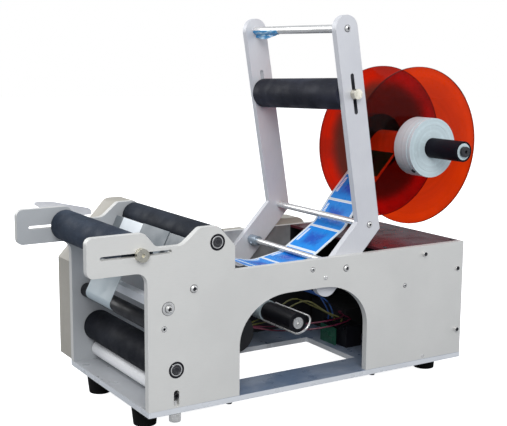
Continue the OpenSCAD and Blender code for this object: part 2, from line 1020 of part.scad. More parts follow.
module rewinder_block() {
    color("silver")
        difference() {
            bar_y(rewinder_x, rewinder_z, rewinder_far_y + side_gap, inner_y, housing_r);
            bar_y(rewinder_x, rewinder_z, rewinder_far_y, inner_y + cut, journal_r + run_gap);
        }
}

module rewinder_shaft() {
    color("silver")
        difference() {
            union() {
                bar_y(rewinder_x, rewinder_z, rewinder_far_y, drive_end_y, journal_r);
                bar_y(rewinder_x, rewinder_z, second_plane_y, drive_end_y, rewinder_pulley_r);
                bar_y(rewinder_x, rewinder_z, rewinder_near_y - rewinder_cap_t, rewinder_far_y, rewinder_cap_r);
            }
            socket_y(rewinder_x, rewinder_z, rewinder_near_y - rewinder_cap_t, -1, socket_r, socket_deep);
        }
}

module rewinder_core() {
    color([0.14, 0.13, 0.15])
        difference() {
            bar_y(rewinder_x, rewinder_z, rewinder_near_y, rewinder_far_y, rewinder_r);
            bar_y(rewinder_x, rewinder_z, rewinder_near_y - cut, rewinder_far_y + cut, rewinder_cap_r);
        }
}

// Wire clip: two legs along the drum joined by a round bend in front of it
module wire_clip() {
    leg_x = rewinder_r + clip_r + seat_gap;
    color("silver")
        translate([rewinder_x, rewinder_near_y - clip_reach, rewinder_z])
            rotate([0, -clip_tilt, 0]) {
                for (s = [-1, 1])
                    translate([s * leg_x, 0, 0])
                        rotate([-90, 0, 0])
                            cylinder(h = rewinder_len + clip_reach - clip_short, r = clip_r, $fn = 24);
                rotate([0, 0, 180])
                    rotate_extrude(angle = 180, $fn = 48)
                        translate([leg_x, 0]) circle(r = clip_r, $fn = 24);
            }
}

// Reel

module reel_post() {
    foot = [post_foot_x, deck_z];
    eye = [reel_x, reel_z];
    n = left_of(unit(eye - foot)) * post_w / 2;
    color([0.2, 0.2, 0.22])
        difference() {
            union() {
                across(post_y, post_t)
                    polygon([foot + n, eye + n, eye - n, foot - n]);
                bar_y(reel_x, reel_z, post_y, post_y + post_t, post_w / 2);
                bar_y(reel_x, reel_z, post_y + post_t, post_y + post_t + post_boss_t, post_boss_r);
                translate([post_foot_x - post_foot_len / 2, post_y, deck_z])
                    cube([post_foot_len, post_foot_w, post_foot_t]);
            }
            bar_y(reel_x, reel_z, post_y - cut, post_y + post_t + post_boss_t + cut, axle_r + run_gap);
            translate([post_foot_x - body_len, post_y - cut, deck_z - post_w])
                cube([body_len * 2, post_t + 2 * cut, post_w]);
        }
}

module reel_axle() {
    color([0.1, 0.1, 0.1])
        difference() {
            union() {
                bar_y(reel_x, reel_z, tube_near_y - axle_head_t, post_y + post_t + post_boss_t, axle_r);
                bar_y(reel_x, reel_z, tube_near_y - axle_head_t - seat_gap, tube_near_y - seat_gap, axle_head_r);
            }
            socket_y(reel_x, reel_z, tube_near_y - axle_head_t - seat_gap, -1, socket_r, socket_deep);
        }
}

module reel_tube() {
    color([0.09, 0.09, 0.1])
        difference() {
            bar_y(reel_x, reel_z, tube_near_y, tube_far_y, tube_r);
            bar_y(reel_x, reel_z, tube_near_y - cut, tube_far_y + cut, axle_r + run_gap);
            bar_y(reel_x, reel_z, tube_near_y - cut, tube_near_y + ring_t, ring_r);
            bar_y(reel_x, reel_z, tube_far_y - ring_t, tube_far_y + cut, ring_r);
        }
}

// Ring bearings in both ends of the tube
module reel_bearings() {
    color("silver")
        difference() {
            union() {
                bar_y(reel_x, reel_z, tube_near_y, tube_near_y + ring_t, ring_r);
                bar_y(reel_x, reel_z, tube_far_y - ring_t, tube_far_y, ring_r);
            }
            bar_y(reel_x, reel_z, tube_near_y - cut, tube_far_y + cut, axle_r + run_gap);
        }
}

module reel_ring(y0, t, r) {
    difference() {
        bar_y(reel_x, reel_z, y0, y0 + t, r);
        bar_y(reel_x, reel_z, y0 - cut, y0 + t + cut, tube_r + run_gap);
    }
}

module far_disc() {
    color([0.9, 0.16, 0.04]) reel_ring(far_disc_y, disc_t, disc_r);
}

module far_hub() {
    color("silver") reel_ring(far_disc_y + disc_t, far_hub_t, hub_r);
}

module near_disc() {
    color([0.9, 0.16, 0.04]) reel_ring(near_disc_y, disc_t, disc_r);
}

module near_hub() {
    color("silver")
        difference() {
            reel_ring(near_disc_y - near_hub_t, near_hub_t, hub_r);
            difference() {
                bar_y(reel_x, reel_z, hub_groove_y, hub_groove_y + hub_groove_w, hub_r + cut);
                bar_y(reel_x, reel_z, hub_groove_y - cut, hub_groove_y + hub_groove_w + cut, hub_r - hub_groove_deep);
            }
        }
}

module label_roll() {
    color("white")
        difference() {
            bar_y(reel_x, reel_z, web_y, web_y + web_w, roll_r);
            bar_y(reel_x, reel_z, web_y - cut, web_y + web_w + cut, tube_r);
        }
}

// Label web: one band from the roll, under two rods, over the peel plate's lip, to its free end

// Point where a line from p touches a circle that lies on its right (side = 1) or on its left (side = -1)
function touch(p, c, r, side) =
    let(
        d = norm(c - p),
        a = atan2(c[1] - p[1], c[0] - p[0]) + side * asin(r / d),
        l = sqrt(d * d - r * r)
    )
    p + l * heading(a);

function web_path() =
    let(
        off = web_gap + web_t / 2,
        skin = beside(peel_outline(), off),
        rod = [lower_rod_x, lower_rod_z],
        upper = bar_knee + web_upper,
        knee = bar_knee + web_knee,
        sag = rod + web_sag,
        rest = peel_back - sag,
        rise = sag + [rest[0] * web_rise_share[0], rest[1] * web_rise_share[1]],
        knee_line = touch(knee, rod, lower_rod_r + off, 1) - knee,
        sag_line = touch(sag, rod, lower_rod_r + off, -1) - sag
    )
    path([
        [touch(upper, [reel_x, reel_z], roll_r + off, 1)],
        [upper, web_bend_r],
        [knee, web_bend_r],
        [meet(knee, knee_line, sag, sag_line), lower_rod_r + off],
        [sag, web_sag_r],
        [rise, web_sag_r],
        [skin[4], web_turn_r],
        [skin[5], web_fold_r],
        [skin[0], web_t],
        [skin[1], web_fold_r],
        [[tail_bend[0], deck_z + tail_bend[1]], tail_r],
        [[tail_end[0], deck_z + tail_end[1]]]
    ]);

module label_web() {
    color([0.2, 0.55, 0.9]) across(web_y, web_w) polygon(band(web_path(), web_t));
}

// Control box

module control_box() {
    color([0.84, 0.82, 0.74])
        difference() {
            across(half_w, control_d) polygon(rounded([
                [control_x, control_low, edge_r],
                [control_x, control_top, control_r],
                [control_x + control_w, control_top, control_r],
                [control_x + control_w, control_low, edge_r]
            ]));
            translate([control_mid_x - switch_w / 2 - switch_gap, control_face_y - switch_t, switch_z - switch_h / 2 - switch_gap])
                cube([switch_w + 2 * switch_gap, switch_t + cut, switch_h + 2 * switch_gap]);
            bar_x(control_mid_x, pivot_y, switch_z, switch_w + 2 * (pivot_stub + seat_gap), pivot_r + run_gap);
            bar_y(control_mid_x, knob_z, control_face_y - knob_t, control_face_y + cut, journal_r + run_gap);
            translate([control_x + control_w - inlet_deep, half_w + control_d / 2 - inlet_h / 2, control_low + inlet_w / 2])
                cube([inlet_deep + cut, inlet_h, inlet_w]);
        }
}

// Round bar along X, given by its middle and its length
module bar_x(x, y, z, len, r) {
    translate([x - len / 2, y, z])
        rotate([0, 90, 0])
            cylinder(h = len, r = r);
}

module rocker_switch() {
    color([0.08, 0.08, 0.08]) {
        across_x(control_mid_x - switch_w / 2, switch_w)
            polygon([
                [pivot_y, switch_z - switch_h / 2 + switch_edge],
                [control_face_y + switch_rock, switch_z - switch_h / 2 + switch_edge],
                [control_face_y, switch_z],
                [control_face_y, switch_z + switch_h / 2 - switch_edge],
                [pivot_y, switch_z + switch_h / 2 - switch_edge]
            ]);
        bar_x(control_mid_x, pivot_y, switch_z, switch_w + 2 * pivot_stub, pivot_r);
    }
}

// Extrudes a Y-Z outline along X from x0 over a length
module across_x(x0, len) {
    translate([x0, 0, 0])
        rotate([90, 0, 90])
            linear_extrude(len)
                children();
}

module speed_knob() {
    color([0.1, 0.1, 0.1])
        difference() {
            union() {
                bar_y(control_mid_x, knob_z, control_face_y + seat_gap, control_face_y + knob_t, knob_r);
                bar_y(control_mid_x, knob_z, control_face_y - knob_shaft, control_face_y + knob_t, journal_r);
            }
            translate([control_mid_x - knob_mark_w / 2, control_face_y + knob_t - knob_mark_deep, knob_z])
                cube([knob_mark_w, knob_mark_deep + cut, knob_r + cut]);
        }
}

// Electrics inside the body

module power_supply() {
    color("lightsteelblue")
        translate([supply_x, supply_y, base_t])
            cube([supply_len, supply_w, supply_h]);
}

module control_board() {
    color("green")
        translate([board_x, board_y, base_t]) {
            cube([board_t, board_w, board_h]);
            for (i = [1 : 3])
                translate([-board_part_t, board_w * i / 4 - board_part_w / 2, board_h * i / 5])
                    cube([board_part_t, board_part_w, board_part_w]);
        }
}

module terminal_block() {
    color([0.2, 0.2, 0.2])
        translate([block_x, block_y, base_t])
            difference() {
                cube([block_len, block_w, block_h]);
                for (i = [0 : block_ways - 1])
                    translate([-cut, block_w * (i + 0.5) / block_ways - way_w / 2, block_h - way_deep])
                        cube([way_w + cut, way_w, way_deep + cut]);
            }
}

// Thin black sheet on the far plate with holes for the motor and the rewinder's housing
module inner_liner() {
    liner_y = inner_y - liner_t;
    color([0.05, 0.05, 0.05])
        difference() {
            translate([arch_x + liner_front, liner_y, base_t])
                cube([liner_len, liner_t, liner_h]);
            bar_y(motor_x, motor_z, liner_y - cut, inner_y + cut, motor_r + liner_gap);
            bar_y(rewinder_x, rewinder_z, liner_y - cut, inner_y + cut, housing_r + liner_gap);
        }
}

// Leads: round tubes swept along smooth routes

// Point on the smooth curve through a route, at t from the start of one of its parts
function along(route, i, t) =
    let(
        last = len(route) - 1,
        p = route[i],
        q = route[i + 1],
        before = i > 0 ? route[i - 1] : 2 * p - q,
        after = i + 2 <= last ? route[i + 2] : 2 * q - p
    )
    p + (q - before) * t / 2
        + (2 * before - 5 * p + 4 * q - after) * t * t / 2
        + (3 * p - before - 3 * q + after) * t * t * t / 2;

function curve(route) = [
    for (i = [0 : len(route) - 2])
        for (j = [0 : lead_steps - 1])
            along(route, i, j / lead_steps),
    route[len(route) - 1]
];

function ring(p, d) =
    let(
        u = unit(cross(d, abs(d[1]) > abs(d[2]) ? [0, 0, 1] : [0, 1, 0])),
        v = unit(cross(u, d))
    )
    [for (i = [0 : lead_sides - 1]) p + lead_r * (u * cos(360 * i / lead_sides) + v * sin(360 * i / lead_sides))];

module lead(route) {
    line = curve(route);
    last = len(line) - 1;
    turns = [for (i = [0 : last])
        i == 0 ? route[1] - route[0]
            : i == last ? route[len(route) - 1] - route[len(route) - 2]
            : line[i + 1] - line[i - 1]];
    points = [for (i = [0 : last]) each ring(line[i], turns[i])];
    n = lead_sides;
    translate([block_x, block_y, base_t])
        polyhedron(points, [
            [for (k = [0 : n - 1]) k],
            for (i = [0 : last - 1])
                for (k = [0 : n - 1])
                    [i * n + k, (i + 1) * n + k, (i + 1) * n + (k + 1) % n, i * n + (k + 1) % n],
            [for (k = [n - 1 : -1 : 0]) last * n + k]
        ]);
}

module yellow_leads() {
    color("goldenrod") {
        lead(yellow_route);
        lead(green_route);
    }
}

module blue_leads() {
    color("royalblue") {
        lead(blue_route);
        lead(white_route);
    }
}

module red_leads() {
    color("firebrick") {
        lead(red_route);
        lead(purple_route);
    }
}

// Moves the part so that its origin is the middle of the space that it fills, at the height of the feet's soles
module placed() {
    translate([-(front_end + rear_end) / 2, -(near_end + far_end) / 2, foot_h]) children();
}

placed() base_plate();
placed() near_plate();
placed() far_plate();
placed() end_panel();
placed() top_cover();
placed() deck_beam();
placed() cross_bar();
placed() near_arm();
placed() far_arm();
placed() top_rod();
placed() knee_rod();
placed() lower_rod();
placed() guide_collar();
placed() peel_plate();
placed() stop_arm();
placed() bearings();
placed() feet();
placed() drive_casing();
placed() motor();
placed() motor_pulley();
placed() belts();
placed() lower_core();
placed() lower_sleeve();
placed() lower_pulley();
placed() upper_core();
placed() upper_sleeve();
placed() upper_pulley();
placed() guide_roller();
placed() pinch_axle();
placed() pinch_roller();
placed() near_adjuster();
placed() far_adjuster();
placed() bottle_axle();
placed() bottle_sleeve();
placed() frame_axle();
placed() frame_sleeve();
placed() rewinder_block();
placed() rewinder_shaft();
placed() rewinder_core();
placed() wire_clip();
placed() reel_post();
placed() reel_axle();
placed() reel_tube();
placed() far_disc();
placed() far_hub();
placed() near_disc();
placed() near_hub();
placed() label_roll();
placed() control_box();
placed() rocker_switch();
placed() speed_knob();
placed() power_supply();
placed() control_board();
placed() terminal_block();
placed() reel_bearings();
placed() yellow_leads();
placed() blue_leads();
placed() red_leads();
placed() inner_liner();
placed() label_web();
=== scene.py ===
"""Looks of the bottle labelling machine: finishes, fasteners, label web, camera and light."""
import json
import math

import bmesh
import bpy
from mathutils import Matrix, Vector


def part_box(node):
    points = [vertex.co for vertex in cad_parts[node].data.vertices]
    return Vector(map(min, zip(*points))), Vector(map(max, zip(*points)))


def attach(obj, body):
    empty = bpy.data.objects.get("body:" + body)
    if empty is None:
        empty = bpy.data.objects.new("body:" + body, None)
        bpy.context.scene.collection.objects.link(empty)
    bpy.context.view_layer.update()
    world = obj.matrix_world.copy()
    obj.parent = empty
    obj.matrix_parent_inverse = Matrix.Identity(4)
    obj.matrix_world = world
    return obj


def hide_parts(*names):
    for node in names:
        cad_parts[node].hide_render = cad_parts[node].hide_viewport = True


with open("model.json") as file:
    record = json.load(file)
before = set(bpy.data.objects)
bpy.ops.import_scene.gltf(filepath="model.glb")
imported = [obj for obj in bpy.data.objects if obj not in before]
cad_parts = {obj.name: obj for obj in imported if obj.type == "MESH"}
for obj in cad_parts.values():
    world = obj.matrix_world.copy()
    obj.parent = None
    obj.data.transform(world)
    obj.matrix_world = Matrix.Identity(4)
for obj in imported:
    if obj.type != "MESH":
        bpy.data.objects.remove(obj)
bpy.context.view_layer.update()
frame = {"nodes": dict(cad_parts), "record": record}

MM = 0.001
nodes = frame["nodes"]


# Places

plate_low, plate_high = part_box("base_plate")
CORNER = Vector((plate_low.x, (plate_low.y + plate_high.y) / 2, plate_low.z))
X_AXIS = Vector((1, 0, 0))
Y_AXIS = Vector((0, 1, 0))
Z_AXIS = Vector((0, 0, 1))
NEAR = -Y_AXIS
FAR = Y_AXIS
REEL_CENTRE = (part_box("near_disc")[0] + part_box("near_disc")[1]) / 2


def at(x, y, z):
    """Place in metres from millimetres off the base's front edge, middle plane and underside."""
    return CORNER + Vector((x, y, z)) * MM


def face(node, axis, side):
    """Where a node ends along X, Y or Z (0, 1, 2), in millimetres from the same corner."""
    return (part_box(node)[side][axis] - CORNER[axis]) / MM


def middle(node):
    """Middle of a node's box, in millimetres from the same corner."""
    low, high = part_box(node)
    return ((low + high) / 2 - CORNER) / MM


def tinted(colour, factor, lift=0.0):
    """A lighter or darker tone of a colour."""
    return tuple(min(c * factor + lift, 1.0) for c in colour)


NEAR_SKIN = face("near_plate", 1, 0)
FAR_SKIN = face("far_plate", 1, 1)


# Finishes

BROAD_GRAIN = 24
LEAST_ROUGHNESS = 0.02


class Finish:
    """A procedural material, built up in steps on one shader."""

    def __init__(self, name, colour, metallic, roughness, round_edge, spread=0.12, **uniform):
        self.material = bpy.data.materials.new(name)
        self.material.use_nodes = True
        self.tree = self.material.node_tree
        self.shader = self.tree.nodes["Principled BSDF"]
        self.shader.inputs["Metallic"].default_value = metallic
        for key, value in uniform.items():
            self.shader.inputs[key.replace("_", " ")].default_value = value
        self.place = self.node("ShaderNodeTexCoord").outputs["Object"]
        self.bevel = self.node("ShaderNodeBevel", Radius=round_edge * MM)
        self.normal = self.bevel.outputs[0]
        self.colour = (*colour, 1.0)
        low = max(roughness - spread, LEAST_ROUGHNESS)
        uneven = self.span(self.noise(BROAD_GRAIN), 0.3, 0.7, low, roughness + spread)
        self.plug(self.shader.inputs["Roughness"], uneven)

    def node(self, kind, **values):
        made = self.tree.nodes.new(kind)
        for key, value in values.items():
            self.plug(made.inputs[key], value)
        return made

    def plug(self, socket, value):
        if isinstance(value, bpy.types.NodeSocket):
            self.tree.links.new(value, socket)
        else:
            socket.default_value = value

    def along(self, axis):
        """Place along X, Y or Z, in metres."""
        return self.node("ShaderNodeSeparateXYZ", Vector=self.place).outputs[axis]

    def noise(self, grain, stretch=(1, 1, 1), detail=3.0, place=None):
        """Noise from 0 to 1, with grains of that many millimetres, longer along a stretched axis."""
        mapping = self.node("ShaderNodeMapping", Vector=place or self.place)
        mapping.inputs["Scale"].default_value = [1 / s for s in stretch]
        scale = 1 / (grain * MM)
        texture = self.node("ShaderNodeTexNoise", Vector=mapping.outputs[0], Scale=scale, Detail=detail)
        return texture.outputs["Fac"]

    def radius(self):
        """Distance in metres from the reel's axis."""
        across = self.math("SUBTRACT", self.along("X"), REEL_CENTRE[0])
        up = self.math("SUBTRACT", self.along("Z"), REEL_CENTRE[2])
        squares = self.math("ADD", self.math("MULTIPLY", across, across), self.math("MULTIPLY", up, up))
        return self.math("POWER", squares, 0.5)

    def rings(self, grain):
        """Noise in rings round the reel's axis, for turned faces and rims."""
        combined = self.node("ShaderNodeCombineXYZ", X=self.radius(), Y=self.along("Y"))
        return self.noise(grain, place=combined.outputs[0], detail=2.0)

    def math(self, kind, a, b=0.5):
        made = self.tree.nodes.new("ShaderNodeMath")
        made.operation = kind
        self.plug(made.inputs[0], a)
        self.plug(made.inputs[1], b)
        return made.outputs[0]

    def span(self, value, low, high, to_low=0.0, to_high=1.0):
        """The value's range from low to high, stretched to another range and held at its ends."""
        made = self.node("ShaderNodeMapRange", Value=value)
        limits = {"From Min": low, "From Max": high, "To Min": to_low, "To Max": to_high}
        for key, number in limits.items():
            made.inputs[key].default_value = number
        made.interpolation_type = "SMOOTHSTEP"
        return made.outputs[0]

    def step(self, axis, start, end):
        """Goes from 0 to 1 between two places along X, Y or Z, in millimetres from the base's corner."""
        origin = CORNER["XYZ".index(axis)]
        return self.span(self.along(axis), origin + start * MM, origin + end * MM)

    def all_of(self, mask, *others):
        """Several masks multiplied together."""
        for other in others:
            mask = self.math("MULTIPLY", mask, other)
        return mask

    def blend(self, factor, colour):
        """Mixes another colour over the one so far, by the factor."""
        mix = self.tree.nodes.new("ShaderNodeMix")
        mix.data_type = "RGBA"
        self.plug(mix.inputs["Factor"], factor)
        self.plug(mix.inputs[6], self.colour)
        self.plug(mix.inputs[7], (*colour, 1.0))
        self.colour = mix.outputs[2]
        return self

    def patches(self, colour, amount, low, high, grain, **noise):
        """Blends a colour over in patches: not where the noise is low, by the amount where it is high."""
        return self.blend(self.span(self.noise(grain, **noise), low, high, 0.0, amount), colour)

    def bump(self, height, depth, strength):
        """Raises the surface by a height map, at most depth millimetres."""
        made = self.node("ShaderNodeBump", Height=height, Normal=self.normal, Strength=strength)
        made.inputs["Distance"].default_value = depth * MM
        self.normal = made.outputs[0]

    def edges(self, colour, amount=0.6):
        """Lighter or darker where two faces meet: partly edge wear, partly a painted highlight along the
        edges.
        """
        true_normal = self.node("ShaderNodeNewGeometry").outputs["True Normal"]
        dot = self.tree.nodes.new("ShaderNodeVectorMath")
        dot.operation = "DOT_PRODUCT"
        self.plug(dot.inputs[0], self.bevel.outputs[0])
        self.plug(dot.inputs[1], true_normal)
        return self.blend(self.span(dot.outputs["Value"], 0.98, 0.80, 0.0, amount), colour)

    def done(self):
        self.plug(self.shader.inputs["Base Color"], self.colour)
        self.plug(self.shader.inputs["Normal"], self.normal)
        return self.material


SHEET_METALLIC = 0.15
SHEET_ROUGHNESS = 0.42
STREAK_STRETCH = 14


def satin_metal(name, colour, shade, along):
    """Satin anodised sheet: faint rolling streaks, handling marks, and bright edges that are partly wear and
    partly a painted highlight.
    """
    f = Finish(name, colour, SHEET_METALLIC, SHEET_ROUGHNESS, spread=0.06, round_edge=0.5)
    f.patches(shade, 0.55, 0.35, 0.7, grain=90)
    streaks = f.noise(0.9, stretch=along, detail=4.0)
    f.blend(f.span(streaks, 0.45, 0.75, 0.0, 0.35), shade)
    f.patches(tinted(colour, 0.75), 0.25, 0.66, 0.78, grain=3.0, detail=6.0)
    f.bump(streaks, 0.02, 0.25)
    return f.edges((0.93, 0.93, 0.93))


DIM_FROM = 120
DIM_TO = 260
FACE_DEPTH = 0.4
FACE_SOFT = 0.2
COVER_SOFT = 1


def plate_metal(name, colour, shade):
    """Satin sheet with painted shade: darker grey on the far plate's inner face, nearly black further back on
    it, and black on inner faces under the cover.
    """
    f = satin_metal(name, colour, shade, (STREAK_STRETCH, 1, 1))
    inner = face("far_plate", 1, 0)
    inner_face = f.all_of(f.step("Y", inner - 1, inner - 0.5), f.step("Y", inner + 0.3, inner + 0.1))
    # Painted shade: the far plate's inner face a darker grey.
    f.blend(f.math("MULTIPLY", inner_face, 0.9), (0.43, 0.45, 0.47))
    # Painted shade: nearly black, in clouds, from DIM_FROM to DIM_TO back on that face.
    shade_behind = f.all_of(inner_face, f.step("X", DIM_FROM, DIM_TO))
    f.blend(f.all_of(shade_behind, f.span(f.noise(45), 0.25, 0.75, 0.35, 0.9)), (0.16, 0.155, 0.155))
    # Painted shade: black on the plates' inner faces under the top cover.
    front = face("top_cover", 0, 0)
    under = face("top_cover", 2, 0)
    rear = face("end_panel", 0, 0)
    near = face("near_plate", 1, 1) - FACE_DEPTH
    far = inner + FACE_DEPTH
    shade_under_cover = f.all_of(
        f.step("X", front - COVER_SOFT, front + COVER_SOFT),
        f.step("X", rear + COVER_SOFT, rear + COVER_SOFT / 2),
        f.step("Z", under + COVER_SOFT, under - COVER_SOFT),
        f.step("Y", near - FACE_SOFT, near + FACE_SOFT),
        f.step("Y", far + FACE_SOFT, far - FACE_SOFT),
    )
    return f.blend(shade_under_cover, (0.012, 0.012, 0.013)).done()


SLOT_X = 326, 346
SLOT_Z = 386, 447
SLOT_SKIN = 0.3
SLOT_SOFT = 0.6


def arm_metal(name, slot=False):
    """Satin sheet of the upright arms, with painted shade, nearly black, inside the near arm's slot where
    asked.
    """
    f = satin_metal(name, (0.62, 0.625, 0.65), (0.54, 0.545, 0.58), (1, 1, STREAK_STRETCH))
    if slot:
        skin = face("near_arm", 1, 0) + SLOT_SKIN, face("near_arm", 1, 1) - SLOT_SKIN
        # Painted shade: the walls of the slot nearly black.
        slot_shade = []
        for axis, (low, high) in zip("XYZ", (SLOT_X, skin, SLOT_Z)):
            slot_shade += [f.step(axis, low, low + SLOT_SOFT), f.step(axis, high, high - SLOT_SOFT)]
        f.blend(f.math("MULTIPLY", f.all_of(*slot_shade), 0.95), (0.035, 0.038, 0.050))
    return f.done()


BLUE_FROM = 50
BLUE_TO = 120


def base_metal(name, light, blue):
    """Base sheet whose upper face is greyer, and blue further in from the front."""
    f = Finish(name, light, 0.15, 0.34, spread=0.08, round_edge=0.5)
    sheet = face("base_plate", 2, 1)
    upper = f.step("Z", sheet - 0.5, sheet - 0.1)
    film = f.all_of(upper, f.step("X", BLUE_FROM, BLUE_TO))
    f.blend(f.math("MULTIPLY", upper, 0.85), tinted(light, 0.62))
    f.blend(film, blue)
    f.patches(tinted(light, 0.8), 0.3, 0.35, 0.7, grain=60)
    streaks = f.noise(1.1, stretch=(16, 1, 1), detail=4.0)
    f.blend(f.all_of(film, f.span(streaks, 0.45, 0.7, 0.0, 0.4)), tinted(blue, 0.6))
    f.blend(f.all_of(film, f.span(f.noise(7.0, detail=6.0), 0.56, 0.7, 0.0, 0.3)), tinted(blue, 1.5))
    f.bump(streaks, 0.02, 0.25)
    return f.edges((0.80, 0.83, 0.88), 0.3).done()


def turned_metal(name, colour, metallic, roughness):
    """Turned aluminium with fine rings round the reel's axis."""
    f = Finish(name, colour, metallic, roughness, spread=0.08, round_edge=0.4)
    ring = f.rings(0.7)
    f.blend(f.span(ring, 0.35, 0.7, 0.0, 0.45), tinted(colour, 0.74))
    f.blend(f.span(f.rings(4.0), 0.4, 0.7, 0.0, 0.35), tinted(colour, 1.25))
    f.patches(tinted(colour, 1.4), 0.25, 0.55, 0.75, grain=6.0, detail=5.0)
    f.bump(ring, 0.03, 0.35)
    return f.edges((0.95, 0.95, 0.95), 0.45).done()


def steel(name, colour, roughness, metallic, edge=(0.9, 0.9, 0.9)):
    """Ground or plated steel with fine marks and a slightly uneven tone."""
    f = Finish(name, colour, metallic, roughness, spread=0.08, round_edge=0.25)
    f.patches(tinted(colour, 0.62), 0.5, 0.4, 0.7, grain=5.0, stretch=(1, 8, 1), detail=5.0)
    f.bump(f.noise(0.5, stretch=(1, 6, 1)), 0.003, 0.2)
    return f.edges(edge, 0.4).done()


def paint(name, colour, shade, roughness):
    """Powder coat or plain paint: orange peel, soft tone shifts, and rubbed edges that are partly a painted
    highlight.
    """
    f = Finish(name, colour, 0.0, roughness, spread=0.08, round_edge=0.6)
    f.patches(shade, 0.6, 0.35, 0.7, grain=70)
    f.patches(tinted(shade, 0.8), 0.25, 0.6, 0.75, grain=4.0, detail=6.0)
    f.bump(f.noise(0.8), 0.03, 0.35)
    return f.edges(tinted(colour, 1.25, 0.03), 0.5).done()


def rubber(name, colour, dust_and_sheen, roughness, gloss):
    """Rubber with a bloom of fine dust that is partly a painted sheen, rub marks along the roller and a fine
    pitted skin.
    """
    f = Finish(name, colour, 0.0, roughness, spread=0.1, round_edge=0.8, Specular_IOR_Level=gloss)
    f.patches(dust_and_sheen, 0.55, 0.4, 0.72, grain=38, stretch=(1, 3, 1))
    f.patches(dust_and_sheen, 0.4, 0.55, 0.75, grain=2.5, stretch=(1, 2.5, 1), detail=6.0)
    f.patches(tinted(dust_and_sheen, 2.4), 0.3, 0.68, 0.78, grain=1.2, detail=2.0)
    f.bump(f.noise(0.7, detail=5.0), 0.05, 0.4)
    return f.edges(tinted(dust_and_sheen, 1.8), 0.4).done()


def plastic(name, colour, roughness, speckle=0.25, gloss=0.5):
    """Moulded plastic with a fine grain and light scuffs."""
    f = Finish(name, colour, 0.0, roughness, spread=0.08, round_edge=0.4, Specular_IOR_Level=gloss)
    f.patches(tinted(colour, 1.8, 0.02), speckle, 0.5, 0.75, grain=12, detail=5.0)
    f.bump(f.noise(0.4), 0.02, 0.4)
    return f.edges(tinted(colour, 1.6, 0.05), 0.4).done()


PALE_FROM = 27
PALE_TO = 98
PALE_SOFT = 0.4


def peel_sheet(name, pale, grey):
    """Sheet with painted shade in dark grey, and a pale stretch beside the web."""
    f = Finish(name, pale, 0.0, 0.4, round_edge=0.4)
    f.patches(tinted(pale, 0.88), 0.5, 0.35, 0.7, grain=50)
    # Painted shade: dark grey on both sides of the pale stretch.
    f.blend(f.step("Y", PALE_TO - PALE_SOFT, PALE_TO + PALE_SOFT), grey)
    f.blend(f.step("Y", PALE_FROM + PALE_SOFT, PALE_FROM - PALE_SOFT), grey)
    f.bump(f.noise(0.8), 0.03, 0.3)
    return f.edges((0.92, 0.94, 0.95), 0.5).done()


DISC_RADIUS = 0.124
# Radii in metres between which the sheet deepens towards its middle, as painted shade.
SHADED_TO = 0.112
SHADED_FROM = 0.085
RIM_FROM = DISC_RADIUS - 0.0012
RIM_TO = DISC_RADIUS - 0.0004


def acrylic(name, rim, inside):
    """Clear tinted sheet: deeper round its middle as painted shade, with faint wiping marks and a dark edge.
    """
    f = Finish(name, rim, 0.0, 0.05, spread=0.03, round_edge=0.2, Transmission_Weight=1.0, IOR=1.12)
    f.blend(f.span(f.radius(), SHADED_TO, SHADED_FROM), inside)
    f.blend(f.span(f.rings(9.0), 0.35, 0.7, 0.0, 0.30), tinted(inside, 0.6))
    f.patches(tinted(inside, 0.8), 0.35, 0.4, 0.7, grain=40)
    f.blend(f.span(f.radius(), RIM_FROM, RIM_TO), tinted(rim, 0.3))
    f.bump(f.rings(5.0), 0.03, 0.2)
    return f.done()


def dark_sheet(name, colour, glint):
    """Smoked cover sheet, with broad cloudy glints and fine scratches."""
    f = Finish(name, colour, 0.0, 0.22, spread=0.08, round_edge=0.3, Specular_IOR_Level=0.04)
    f.patches(glint, 0.6, 0.5, 0.72, grain=55, stretch=(1, 2, 1))
    f.patches(tinted(glint, 1.8), 0.25, 0.6, 0.75, grain=1.4, stretch=(9, 1, 1), detail=5.0)
    f.bump(f.noise(8), 0.02, 0.2)
    return f.edges((0.22, 0.12, 0.12), 0.5).done()


